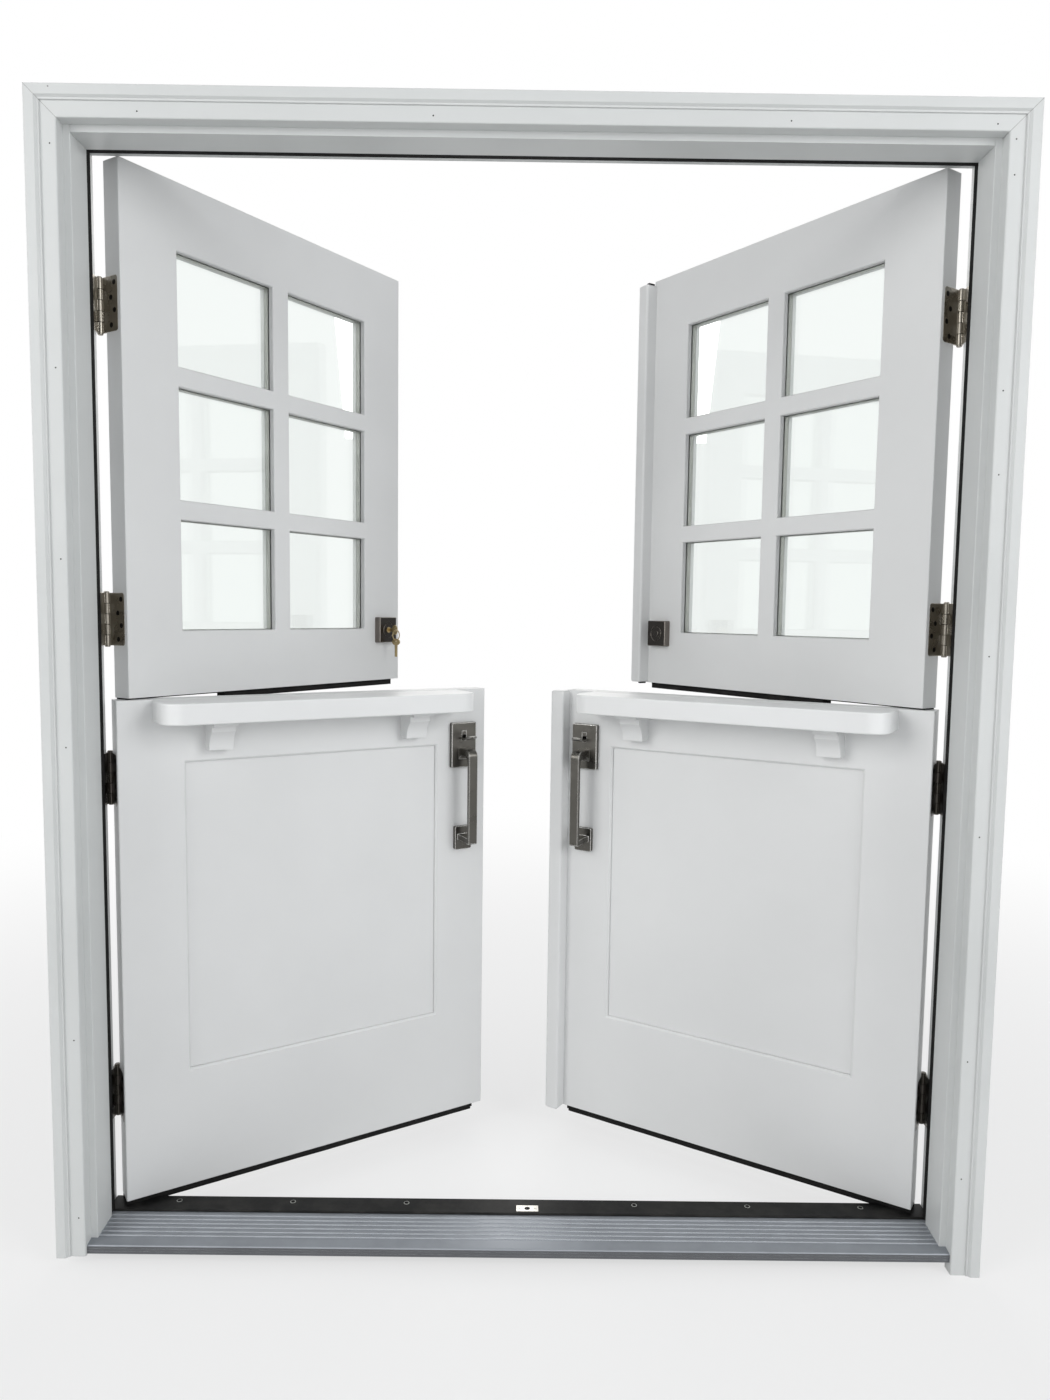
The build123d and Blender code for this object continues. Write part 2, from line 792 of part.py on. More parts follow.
with BuildPart() as right_sash:
    add(upper_sash(right_slab_width, upper_levels).part)
    rod((lock_x, latch_y, deadbolt_z), (-1, 0, 0), deadbolt_radius + strike_hole_clearance,
        deadbolt_throw + astragal_stem, Mode.SUBTRACT)
    surface_bolt_seat(upper_top, 1, bolt_travel)
    surface_bolt_seat(upper_bottom, -1, bolt_travel)
hang(right_sash, 1, upper_right_angle, "upper_right_sash")


def rose_shell():
    """Adds a square rose on a leaf's outside face."""
    with BuildSketch(outside_face()) as square:
        with Locations((lock_middle_x, deadbolt_z)):
            RectangleRounded(rose_size, rose_size, rose_corner_radius)
    shell = extrude(square.sketch, amount=rose_thickness)
    chamfer(shell.faces().sort_by(Axis.Y)[0].edges(), rose_easing)
    with BuildSketch(outside_face(rose_thickness)) as collar:
        with Locations((lock_middle_x, deadbolt_z)):
            Circle(collar_radius)
            Circle(collar_radius - collar_width, mode=Mode.SUBTRACT)
    extrude(collar.sketch, amount=-collar_sink, mode=Mode.SUBTRACT)


with BuildPart() as rose:
    rose_shell()
    rod((lock_middle_x, front_y, deadbolt_z), (0, -1, 0), plug_radius + plug_clearance,
        rose_thickness, Mode.SUBTRACT)
hang(rose, -1, upper_left_angle, "upper_left_rose")

with BuildPart() as dummy_rose:
    rose_shell()
    rod((lock_middle_x, front_y - rose_thickness, deadbolt_z), (0, -1, 0), plug_radius, plug_proud)
hang(dummy_rose, 1, upper_right_angle, "upper_right_rose")

# Key cylinder: the plug turns in the rose and holds a flat key upright
plug_end = front_y - rose_thickness - plug_proud


def flat_key(plane, neck_length):
    """Adds a flat key. The plane's origin is the bow's middle, its second axis leaves the blade."""
    neck_start = -key_bow_half_length + key_hole_offset / 2
    neck_end = -key_bow_half_length - neck_length
    with BuildSketch(plane) as key:
        with Locations((0, (neck_start + neck_end) / 2)):
            Rectangle(key_neck_height, neck_start - neck_end)
        with Locations((0, neck_end - key_blade_length / 2)):
            Rectangle(key_blade_height, key_blade_length)
        Ellipse(key_bow_half_width, key_bow_half_length)
        with Locations((0, key_hole_offset)):
            Circle(key_hole_radius, mode=Mode.SUBTRACT)
    extrude(key.sketch, amount=key_thickness / 2, both=True)


bow_y = plug_end - key_neck_length - key_bow_half_length
ring_top = (lock_middle_x, bow_y - key_hole_offset, deadbolt_z)

with BuildPart() as key_cylinder:
    rod((lock_middle_x, plug_end, deadbolt_z), (0, 1, 0), plug_radius, plug_length)
    block(lock_middle_x - keyway_width / 2, lock_middle_x + keyway_width / 2,
          plug_end, plug_end + key_blade_length + seat_clearance,
          deadbolt_z - keyway_height / 2, deadbolt_z + keyway_height / 2, Mode.SUBTRACT)
    flat_key(Plane(origin=(lock_middle_x, bow_y, deadbolt_z), x_dir=(0, 0, 1), z_dir=(1, 0, 0)),
             key_neck_length)
hang(key_cylinder, -1, upper_left_angle, "upper_left_key_cylinder")

with BuildPart() as key_ring:
    ring_middle_z = ring_top[2] - ring_radius
    with BuildSketch(Plane(origin=(lock_middle_x, ring_top[1], ring_middle_z), z_dir=(0, 1, 0))):
        Circle(ring_radius + ring_wire / 2)
        Circle(ring_radius - ring_wire / 2, mode=Mode.SUBTRACT)
    extrude(amount=ring_wire / 2, both=True)
    spare_bow_z = ring_top[2] - 2 * ring_radius - key_hole_offset
    flat_key(Plane(origin=(lock_middle_x, ring_top[1], spare_bow_z), x_dir=(0, 1, 0), z_dir=(1, 0, 0)),
             spare_key_neck_length)
hang(key_ring, -1, upper_left_angle, "upper_left_key_ring")

with BuildPart() as turn_plate:
    rod((lock_middle_x, back_y, deadbolt_z), (0, 1, 0), turn_plate_radius, turn_plate_thickness)
    chamfer(turn_plate.faces().sort_by(Axis.Y)[-1].edges(), turn_plate_thickness / 4)
    rod((lock_middle_x, back_y, deadbolt_z), (0, 1, 0), turn_shaft_radius + plug_clearance,
        turn_plate_thickness, Mode.SUBTRACT)
hang(turn_plate, -1, upper_left_angle, "upper_left_turn_plate")

with BuildPart() as turn:
    shaft_length = turn_plate_thickness + leaf_thickness / 2
    rod((lock_middle_x, back_y + turn_plate_thickness, deadbolt_z), (0, -1, 0), turn_shaft_radius,
        shaft_length)
    with BuildSketch(room_face(turn_plate_thickness + seat_clearance)):
        with Locations((-lock_middle_x, deadbolt_z)):
            SlotOverall(turn_grip_length, turn_grip_width, rotation=90)
    extrude(amount=turn_grip_depth)
    rod((lock_middle_x, back_y + turn_plate_thickness, deadbolt_z), (0, 1, 0), turn_shaft_radius,
        seat_clearance)
hang(turn, -1, upper_left_angle, "upper_left_turn")

with BuildPart() as deadbolt:
    rod((lock_x, latch_y, deadbolt_z), (-1, 0, 0), deadbolt_radius, deadbolt_length)
    chamfer(deadbolt.faces().sort_by(Axis.X)[-1].edges(), rose_easing)
hang(deadbolt, -1, upper_left_angle, "upper_left_deadbolt")

# Bolt on the room side that joins the upper left leaf to the lower left leaf
interlock_x = lock_x - interlock_setback
interlock_y = back_y + interlock_plate_thickness + interlock_guide_depth / 2
plate_bottom = upper_bottom + interlock_rise
plate_top = plate_bottom + interlock_plate_height


def guide(bottom, height, hole_radius):
    """Adds a block with a hole that an upright bolt passes through."""
    with BuildSketch(Plane.XY.offset(bottom)) as plan:
        with Locations((interlock_x, interlock_y)):
            Rectangle(interlock_guide_width, interlock_guide_depth)
            fillet(plan.vertices().group_by(Axis.Y)[-1], interlock_easing)
            Circle(hole_radius, mode=Mode.SUBTRACT)
    extrude(plan.sketch, amount=height)


with BuildPart() as interlock_plate:
    block(interlock_x - interlock_plate_width / 2, interlock_x + interlock_plate_width / 2,
          back_y, back_y + interlock_plate_thickness, plate_bottom, plate_top)
    for bottom in (plate_bottom, plate_top - interlock_guide_height):
        guide(bottom, interlock_guide_height, interlock_bolt_radius + bolt_bore_clearance)
hang(interlock_plate, -1, upper_left_angle, "upper_left_interlock_plate")

with BuildPart() as interlock_bolt:
    rod((interlock_x, interlock_y, plate_bottom), (0, 0, 1), interlock_bolt_radius,
        interlock_bolt_length)
    knob_z = plate_top - interlock_guide_height - interlock_knob_radius - seat_clearance
    rod((interlock_x, interlock_y, knob_z), (0, 1, 0), interlock_knob_radius,
        interlock_bolt_radius + interlock_knob_length)
    chamfer(interlock_bolt.faces().sort_by(Axis.Y)[-1].edges(), interlock_easing / 2)
hang(interlock_bolt, -1, upper_left_angle, "upper_left_interlock_bolt")

with BuildPart() as interlock_keeper:
    keeper_bottom = lower_top - keeper_drop - keeper_height
    block(interlock_x - interlock_plate_width / 2, interlock_x + interlock_plate_width / 2,
          back_y, back_y + interlock_plate_thickness, keeper_bottom, keeper_bottom + keeper_height)
    guide(keeper_bottom, keeper_height, interlock_bolt_radius + bolt_hole_clearance)
hang(interlock_keeper, -1, lower_left_angle, "lower_left_interlock_keeper")


# Astragals: T-shaped covers of the joint between left and right leaves, on the right leaves
def strike_plate(z, hole_radius, sunk=False):
    """Adds a strike plate in the astragal's edge, or cuts its seat and the bolt's hole."""
    with BuildSketch(Plane(origin=(lock_x, latch_y, z), x_dir=(0, 1, 0), z_dir=(1, 0, 0))) as plate:
        RectangleRounded(strike_plate_width, strike_plate_length, rose_corner_radius)
        if not sunk:
            Circle(hole_radius, mode=Mode.SUBTRACT)
    mode = Mode.SUBTRACT if sunk else Mode.ADD
    extrude(plate.sketch, amount=-strike_plate_thickness, mode=mode)
    if sunk:
        rod((lock_x, latch_y, z), (-1, 0, 0), hole_radius, astragal_stem, Mode.SUBTRACT)


def astragal(bottom, top):
    """Makes an astragal on the bench: the flange outside, the stem on the leaf's lock edge."""
    flange_start = edge_x + right_slab_width - astragal_flange_lap
    flange_end = flange_start + astragal_flange_width
    slab_end = edge_x + right_slab_width
    with BuildPart() as cover:
        with BuildSketch(Plane.XY.offset(bottom)) as plan:
            with BuildLine():
                Polyline(
                    (flange_start, front_y),
                    (flange_start, front_y - astragal_thickness),
                    (flange_end, front_y - astragal_thickness),
                    (flange_end, front_y - astragal_face_gap),
                    (lock_x, front_y - astragal_face_gap),
                    (lock_x, back_y),
                    (slab_end, back_y),
                    (slab_end, front_y),
                    close=True,
                )
            make_face()
            fillet(plan.vertices().group_by(Axis.Y)[0], astragal_radius)
        extrude(amount=top - bottom)
        front_ends = cover.edges().filter_by(Axis.X).group_by(Axis.Y)[0]
        chamfer(front_ends, astragal_radius / 2)
    return cover


deadbolt_hole_radius = deadbolt_radius + strike_hole_clearance
latch_hole_radius = latch_radius + strike_hole_clearance

with BuildPart() as upper_astragal:
    add(astragal(upper_bottom + upper_astragal_bottom, stop_top - upper_astragal_head_gap).part)
    strike_plate(deadbolt_z, deadbolt_hole_radius, sunk=True)
    cut_stud_slot(upper_top, 1, bolt_travel)
    cut_stud_slot(upper_bottom, -1, bolt_travel)
hang(upper_astragal, 1, upper_right_angle, "upper_right_astragal")

with BuildPart() as deadbolt_strike:
    strike_plate(deadbolt_z, deadbolt_hole_radius)
hang(deadbolt_strike, 1, upper_right_angle, "upper_right_deadbolt_strike")

hang(surface_bolt(upper_top, 1), 1, upper_right_angle, "upper_right_head_bolt")
hang(surface_bolt(upper_bottom, -1), 1, upper_right_angle, "upper_right_meeting_bolt")

with BuildPart() as lower_astragal:
    add(astragal(lower_bottom - lower_astragal_bottom, lower_top - lower_astragal_top).part)
    strike_plate(latch_z, latch_hole_radius, sunk=True)
    cut_stud_slot(lower_bottom, -1, foot_bolt_travel)
hang(lower_astragal, 1, lower_right_angle, "lower_right_astragal")

with BuildPart() as latch_strike:
    strike_plate(latch_z, latch_hole_radius)
hang(latch_strike, 1, lower_right_angle, "lower_right_latch_strike")

hang(surface_bolt(lower_bottom, -1), 1, lower_right_angle, "lower_right_foot_bolt")

# Lower leaves: stiles and rails round a panel, with a shelf on two brackets outside
panel_opening_width = leaf_width - panel_stile_width - panel_lock_stile
panel_opening_height = leaf_height - panel_top_rail - panel_bottom_rail
panel_middle_x = edge_x + panel_stile_width + panel_opening_width / 2
panel_middle_z = lower_bottom + panel_bottom_rail + panel_opening_height / 2


def panel_layer(depth, thickness, grow, mode=Mode.ADD):
    """Adds or cuts a rectangle a little larger or smaller than the panel's opening."""
    with BuildSketch(outside_face(-depth)) as layer:
        with Locations((panel_middle_x, panel_middle_z)):
            Rectangle(panel_opening_width + 2 * grow, panel_opening_height + 2 * grow)
    extrude(layer.sketch, amount=-thickness, mode=mode)


groove_start = (leaf_thickness - panel_tongue_thickness) / 2


def lower_frame(slab_width):
    """Makes the stiles and rails of a lower leaf on the bench, without the lock's seats."""
    with BuildPart() as slab:
        block(edge_x, edge_x + slab_width, front_y, back_y, lower_bottom, lower_top)
        chamfer(slab.edges().filter_by(Axis.Z), leaf_easing)
        panel_layer(0, leaf_thickness, 0, Mode.SUBTRACT)
        faces = slab.edges().filter_by(lambda rim: abs(rim.center().X - panel_middle_x)
                                       < panel_opening_width / 2 + 1
                                       and abs(rim.center().Z - panel_middle_z)
                                       < panel_opening_height / 2 + 1)
        rims = [rim for rim in faces if rim not in faces.filter_by(Axis.Y)]
        chamfer(rims, opening_bevel)
        panel_layer(groove_start - panel_gap, panel_tongue_thickness + 2 * panel_gap,
                    panel_tongue + panel_gap, Mode.SUBTRACT)
        sink_hinge_seats(lower_levels)
    return slab


with BuildPart() as panel:
    panel_layer(panel_recess, leaf_thickness - 2 * panel_recess, -panel_gap)
    panel_layer(groove_start, panel_tongue_thickness, panel_tongue)

with BuildPart() as shelf:
    shelf_top = lower_top - shelf_drop
    with BuildSketch(Plane.XY.offset(shelf_top)) as plan:
        with Locations((edge_x + shelf_start + shelf_length / 2, front_y - shelf_depth / 2)):
            Rectangle(shelf_length, shelf_depth)
        fillet(plan.vertices().group_by(Axis.Y)[0], shelf_corner_radius)
    extrude(amount=-shelf_thickness)
    front_rims = [
        rim
        for rim in shelf.edges()
        if rim.center().Y < front_y - 1 and abs(rim.tangent_at(0.5).Z) < 0.1
    ]
    fillet(front_rims, shelf_easing)

with BuildPart() as brackets:
    for place in bracket_places:
        side_plane = Plane(
            origin=(edge_x + place, front_y, shelf_underside), x_dir=(0, -1, 0), z_dir=(-1, 0, 0)
        )
        with BuildSketch(side_plane):
            with BuildLine():
                lip_bottom = -bracket_lip_height
                curve_start = (bracket_neck_depth, lip_bottom - bracket_curve_rise)
                curve_end = (bracket_foot_depth, -bracket_height)
                Polyline(
                    curve_end,
                    (0, -bracket_height),
                    (0, 0),
                    (bracket_lip_depth, 0),
                    (bracket_lip_depth, lip_bottom),
                    (bracket_neck_depth, lip_bottom),
                    curve_start,
                )
                TangentArc(curve_end, curve_start, tangent=(0, 1))
            make_face()
        extrude(amount=bracket_width / 2, both=True)

with BuildPart() as lower_sweep:
    with BuildSketch(Plane(origin=(edge_x, front_y + seal_setback, lower_bottom),
                           x_dir=(0, 1, 0), z_dir=(1, 0, 0))):
        with Locations((seal_width / 2, -sweep_base / 2)):
            Rectangle(seal_width, sweep_base)
        for fin_middle in (sweep_fin / 2, seal_width - sweep_fin / 2):
            with Locations((fin_middle, -sweep_height / 2)):
                Rectangle(sweep_fin, sweep_height)
    extrude(amount=seal_length)

with BuildPart() as left_frame:
    add(lower_frame(leaf_width).part)
    rod((lock_middle_x, front_y, latch_z), (0, 1, 0), lock_bore_radius, leaf_thickness, Mode.SUBTRACT)
    rod((lock_x, latch_y, latch_z), (-1, 0, 0), latch_radius + bolt_bore_clearance, lock_backset,
        Mode.SUBTRACT)
hang(left_frame, -1, lower_left_angle, "lower_left_frame")

with BuildPart() as right_frame:
    add(lower_frame(right_slab_width).part)
    rod((lock_x, latch_y, latch_z), (-1, 0, 0), latch_hole_radius,
        latch_throw + latch_pocket_extra, Mode.SUBTRACT)
    block(lock_middle_x - thumb_slot_width / 2, lock_middle_x + thumb_slot_width / 2,
          front_y, front_y + thumb_tail + seat_clearance, thumb_level - thumb_slot_height / 2,
          thumb_level + thumb_slot_height / 2, Mode.SUBTRACT)
    surface_bolt_seat(lower_bottom, -1, foot_bolt_travel)
    rod((surface_bolt_x, surface_bolt_y, lower_top), (0, 0, -1), bolt_radius + bolt_hole_clearance,
        bolt_travel, Mode.SUBTRACT)
hang(right_frame, 1, lower_right_angle, "lower_right_frame")

# Handlesets: an escutcheon with a thumb piece over a bow-shaped grip that ends in a foot
with BuildPart() as escutcheon:
    with BuildSketch(outside_face()):
        with Locations((lock_middle_x, plate_middle)):
            RectangleRounded(rose_size, plate_height, rose_corner_radius)
    extrude(amount=plate_thickness)
    chamfer(escutcheon.faces().sort_by(Axis.Y)[0].edges(), rose_easing)
    block(lock_middle_x - thumb_slot_width / 2, lock_middle_x + thumb_slot_width / 2,
          front_y - plate_thickness, front_y, thumb_level - thumb_slot_height / 2,
          thumb_level + thumb_slot_height / 2, Mode.SUBTRACT)

side_view = Plane(origin=(lock_middle_x, front_y, 0), x_dir=(0, -1, 0), z_dir=(-1, 0, 0))
top_view = Plane(origin=(lock_middle_x, front_y, 0), x_dir=(1, 0, 0), z_dir=(0, 0, 1))

with BuildPart() as grip:
    with BuildSketch(side_view):
        with BuildLine():
            bar_back = grip_front - grip_depth
            underside_start = (bar_back, grip_top - grip_underside_drop)
            arm_root = (plate_thickness, grip_top - grip_arm_height)
            Polyline(arm_root, (plate_thickness, grip_top), (grip_front - grip_bend, grip_top))
            TangentArc((grip_front - grip_bend, grip_top), (grip_front, grip_top - grip_bend),
                       tangent=(1, 0))
            Polyline(
                (grip_front, grip_top - grip_bend),
                (grip_front, grip_bottom + grip_easing),
                (grip_front - grip_easing, grip_bottom),
                (foot_thickness, foot_arm_top - foot_arm_height),
                (foot_thickness, foot_arm_top),
                (bar_back, grip_bottom + foot_arm_height),
                underside_start,
            )
            TangentArc(underside_start, arm_root, tangent=(0, 1))
        make_face()
    extrude(amount=grip_arm_width / 2, both=True)
    with BuildSketch(top_view.offset(grip_bottom)):
        with BuildLine():
            for side in (-1, 1):
                root = (side * grip_arm_width / 2, 0)
                waist = (side * grip_width / 2, -grip_front + grip_waist)
                TangentArc(waist, root, tangent=(0, 1))
                Line(waist, (side * grip_width / 2, -grip_front))
            Line((-grip_width / 2, -grip_front), (grip_width / 2, -grip_front))
            Line((-grip_arm_width / 2, 0), (grip_arm_width / 2, 0))
        make_face()
    extrude(amount=grip_top - grip_bottom, mode=Mode.INTERSECT)
    long_edges = [rim for rim in grip.edges().filter_by(Axis.Z) if rim.length > grip_arm_width * 2]
    fillet(long_edges, grip_easing)
    with BuildSketch(outside_face()):
        with Locations((lock_middle_x, foot_middle)):
            RectangleRounded(foot_width, foot_height, rose_corner_radius)
    extrude(amount=foot_thickness)

with BuildPart() as thumb:
    with BuildSketch(side_view):
        with BuildLine():
            tail = (-thumb_tail, thumb_level)
            dip = (thumb_reach / 2, thumb_level - thumb_dip)
            tip = (thumb_reach, thumb_level + thumb_lift)
            ThreePointArc(tail, dip, tip)
            Line(tip, (tip[0], tip[1] - thumb_thickness))
            ThreePointArc(
                (tip[0], tip[1] - thumb_thickness),
                (dip[0], dip[1] - thumb_thickness),
                (tail[0], tail[1] - thumb_thickness),
            )
            Line((tail[0], tail[1] - thumb_thickness), tail)
        make_face()
    extrude(amount=thumb_width / 2, both=True)
    with BuildSketch(top_view.offset(thumb_level - thumb_slot_height)):
        with Locations((0, (thumb_tail - thumb_neck_length) / 2)):
            Rectangle(thumb_neck_width, thumb_tail + thumb_neck_length)
        with Locations((0, -(thumb_neck_length + thumb_reach) / 2)):
            RectangleRounded(thumb_width, thumb_reach - thumb_neck_length, thumb_width / 3)
    extrude(amount=2 * thumb_slot_height, mode=Mode.INTERSECT)

with BuildPart() as latch:
    rod((lock_x + latch_throw, latch_y, latch_z), (-1, 0, 0), latch_radius,
        latch_throw + latch_length)
    slope = Plane(origin=(lock_x, latch_y - latch_radius, latch_z),
                  z_dir=(2 * latch_radius, -latch_throw, 0))
    split(bisect_by=slope, keep=Keep.BOTTOM)
hang(latch, -1, lower_left_angle, "lower_left_latch")

with BuildPart() as inside_rose:
    rod((lock_middle_x, back_y, latch_z), (0, 1, 0), inside_rose_radius, inside_rose_thickness)
    chamfer(inside_rose.faces().sort_by(Axis.Y)[-1].edges(), inside_rose_thickness / 4)
    rod((lock_middle_x, back_y, latch_z), (0, 1, 0), lever_shaft_radius + plug_clearance,
        inside_rose_thickness, Mode.SUBTRACT)
hang(inside_rose, -1, lower_left_angle, "lower_left_inside_rose")

with BuildPart() as inside_lever:
    lever_y = back_y + lever_reach
    with BuildLine() as lever_path:
        FilletPolyline(
            (lock_middle_x, back_y - leaf_thickness / 4, latch_z),
            (lock_middle_x, lever_y, latch_z),
            (lock_middle_x - lever_length, lever_y, latch_z),
            radius=lever_bend,
        )
    with BuildSketch(Plane(origin=lever_path.line @ 0, z_dir=(0, 1, 0))):
        Circle(lever_radius)
    sweep(path=lever_path.line)
    rod((lock_middle_x, back_y - leaf_thickness / 4, latch_z), (0, 1, 0), lever_shaft_radius,
        leaf_thickness / 4 + inside_rose_thickness)
hang(inside_lever, -1, lower_left_angle, "lower_left_inside_lever")

for side, angle, name in ((-1, lower_left_angle, "lower_left"), (1, lower_right_angle, "lower_right")):
    hang(panel, side, angle, f"{name}_panel")
    hang(shelf, side, angle, f"{name}_shelf")
    hang(brackets, side, angle, f"{name}_brackets")
    hang(lower_hinges, side, angle, f"{name}_hinge_leaves")
    hang(lower_sweep, side, angle, f"{name}_sweep")
    hang(escutcheon, side, angle, f"{name}_escutcheon")
    hang(grip, side, angle, f"{name}_grip")
    hang(thumb, side, angle, f"{name}_thumb")
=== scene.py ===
# %% [markdown]
# # A pair of Dutch doors, dressed for a picture
# The real object is a pair of glazed Dutch doors in a cased frame: each side is split into an upper
# and a lower leaf, and all four leaves stand open inwards. The solids come from the packed
# model and stay as they are. This lesson gives them their finishes, adds the small pieces that repeat,
# such as screws and nail dents, and then sets up the light and the camera.

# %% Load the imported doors
import json
import math

import bpy
from mathutils import Matrix, Vector


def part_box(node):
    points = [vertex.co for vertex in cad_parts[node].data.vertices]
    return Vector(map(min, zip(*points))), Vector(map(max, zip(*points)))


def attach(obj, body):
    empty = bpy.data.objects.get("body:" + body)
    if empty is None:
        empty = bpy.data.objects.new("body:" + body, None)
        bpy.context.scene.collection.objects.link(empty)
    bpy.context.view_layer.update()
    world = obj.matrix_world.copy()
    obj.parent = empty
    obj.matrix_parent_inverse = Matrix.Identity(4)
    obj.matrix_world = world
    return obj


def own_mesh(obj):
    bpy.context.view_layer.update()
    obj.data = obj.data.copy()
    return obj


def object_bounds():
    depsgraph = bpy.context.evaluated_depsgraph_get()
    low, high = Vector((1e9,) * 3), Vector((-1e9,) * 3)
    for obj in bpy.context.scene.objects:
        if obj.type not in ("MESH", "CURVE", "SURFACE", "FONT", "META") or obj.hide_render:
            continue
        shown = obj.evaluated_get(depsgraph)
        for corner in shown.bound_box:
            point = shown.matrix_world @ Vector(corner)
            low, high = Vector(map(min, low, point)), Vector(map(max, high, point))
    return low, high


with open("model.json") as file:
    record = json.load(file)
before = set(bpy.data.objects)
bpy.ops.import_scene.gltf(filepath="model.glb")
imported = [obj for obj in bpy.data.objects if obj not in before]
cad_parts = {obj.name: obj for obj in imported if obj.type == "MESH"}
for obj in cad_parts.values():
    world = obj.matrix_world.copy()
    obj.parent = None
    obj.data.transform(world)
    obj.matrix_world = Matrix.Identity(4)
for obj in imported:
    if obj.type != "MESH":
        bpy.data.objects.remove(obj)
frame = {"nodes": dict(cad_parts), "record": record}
cad_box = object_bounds()
nodes = frame["nodes"]

# %% [markdown]
# ## Where a leaf is
# A leaf is easiest to describe as it lies on a bench: a distance along it from its hinge pin, a depth
# from the outer face inwards, and a height. The pin's place and the angle come from the leaf's
# joint: the photographed pose is the rest pose and closed is the joint's lower limit, so that limit
# says how far the leaf stands open.

# %% Bench coordinates of the four leaves
mm = 0.001
leaves = ("upper_left", "upper_right", "lower_left", "lower_right")
swings = {joint["name"]: joint for joint in frame["record"]["behaviour"]["joints"]}


def leaf_axes(leaf):
    """Pin, direction along the leaf and direction inwards, in the shared frame."""
    swing = swings[leaf + "_swing"]
    angle = math.radians(-swing["range_deg"][0])
    side = 1 if leaf.endswith("right") else -1
    pin = Vector(swing["pos_m"])
    pin.z = 0
    along = Vector((-side * math.cos(angle), math.sin(angle), 0))
    inward = Vector((side * math.sin(angle), math.cos(angle), 0))
    return pin, along, inward


def on_leaf(leaf, x, y, z):
    """Point on a leaf from its bench coordinates."""
    pin, along, inward = leaf_axes(leaf)
    return pin + along * x + inward * y + Vector((0, 0, z))


for leaf in leaves:
    print(leaf, "pin", [round(value, 4) for value in leaf_axes(leaf)[0]])

# %% [markdown]
# ## Materials from a few shared steps
# Every finish here is a Principled shader whose colour and roughness vary a little, with a fine bump.
# A few helpers build that: noise gives the colour drift, a second noise gives the surface, and a Bevel
# node rounds the sharp arrises of the solids. It could be done with pictures of paint and metal, but
# numbers on Object coordinates stay sharp at any distance and turn with the piece.

# %% Helpers that make a finish
def add_node(tree, kind, **settings):
    """Adds a node to a tree and sets its properties."""
    node = tree.nodes.new(kind)
    for key, value in settings.items():
        setattr(node, key, value)
    return node


def link(tree, source, target):
    """Joins two sockets of a tree."""
    tree.links.new(source, target)


def new_finish(name, metallic, roughness):
    """Makes an empty finish. Returns it with its tree, its shader and its coordinates."""
    material = bpy.data.materials.new(name)
    material.use_nodes = True
    tree = material.node_tree
    shader = tree.nodes["Principled BSDF"]
    shader.inputs["Metallic"].default_value = metallic
    shader.inputs["Roughness"].default_value = roughness
    coordinates = add_node(tree, "ShaderNodeTexCoord")
    mapping = add_node(tree, "ShaderNodeMapping")
    link(tree, coordinates.outputs["Object"], mapping.inputs["Vector"])
    return material, tree, shader, mapping


def noise(tree, mapping, scale, detail, roughness=0.5):
    """Adds a noise texture that reads the finish's coordinates."""
    texture = add_node(tree, "ShaderNodeTexNoise")
    texture.inputs["Scale"].default_value = scale
    texture.inputs["Detail"].default_value = detail
    texture.inputs["Roughness"].default_value = roughness
    link(tree, mapping.outputs["Vector"], texture.inputs["Vector"])
    return texture


def stretched(tree, mapping, axis, share):
    """Coordinates drawn out along one axis, for grain and brushing."""
    drawn = add_node(tree, "ShaderNodeMapping")
    scale = [1.0, 1.0, 1.0]
    scale[axis] = share
    drawn.inputs["Scale"].default_value = scale
    link(tree, mapping.outputs["Vector"], drawn.inputs["Vector"])
    return drawn


def ramp(tree, source, stops):
    """Turns a value into a colour by stops of (position, colour)."""
    colours = add_node(tree, "ShaderNodeValToRGB")
    band = colours.color_ramp
    band.elements[0].position, band.elements[0].color = stops[0][0], (*stops[0][1], 1)
    band.elements[1].position, band.elements[1].color = stops[-1][0], (*stops[-1][1], 1)
    for position, colour in stops[1:-1]:
        band.elements.new(position).color = (*colour, 1)
    link(tree, source, colours.inputs["Fac"])
    return colours.outputs["Color"]


noise_band = (0.3, 0.7)


def spread(tree, source, low, high):
    """Maps a noise value from its usual band to a range."""
    mapped = add_node(tree, "ShaderNodeMapRange")
    mapped.inputs["From Min"].default_value, mapped.inputs["From Max"].default_value = noise_band
    mapped.inputs["To Min"].default_value = low
    mapped.inputs["To Max"].default_value = high
    link(tree, source, mapped.inputs["Value"])
    return mapped.outputs["Result"]


def round_and_bump(tree, shader, height, depth, arris):
    """Rounds arrises in the shading by a radius and adds a bump of a depth in metres."""
    bevel = add_node(tree, "ShaderNodeBevel")
    bevel.samples = 4
    bevel.inputs["Radius"].default_value = arris
    bump = add_node(tree, "ShaderNodeBump")
    bump.inputs["Distance"].default_value = depth
    link(tree, height, bump.inputs["Height"])
    link(tree, bevel.outputs["Normal"], bump.inputs["Normal"])
    link(tree, bump.outputs["Normal"], shader.inputs["Normal"])
    return bevel


print("finish helpers ready")

# %% [markdown]
# ## White paint
# Frame and leaves are painted in a white semi-gloss. Real paint isn't one flat white: a roller leaves
# a fine stipple, a hand leaves slightly duller patches, and the grain of the wood shows faintly along
# the boards. The grain runs with the board, so the helper stretches it along one axis. Where the
# casings meet at a corner, the frame's paint shows a fine grey mitre line, and by the left corner a nail.

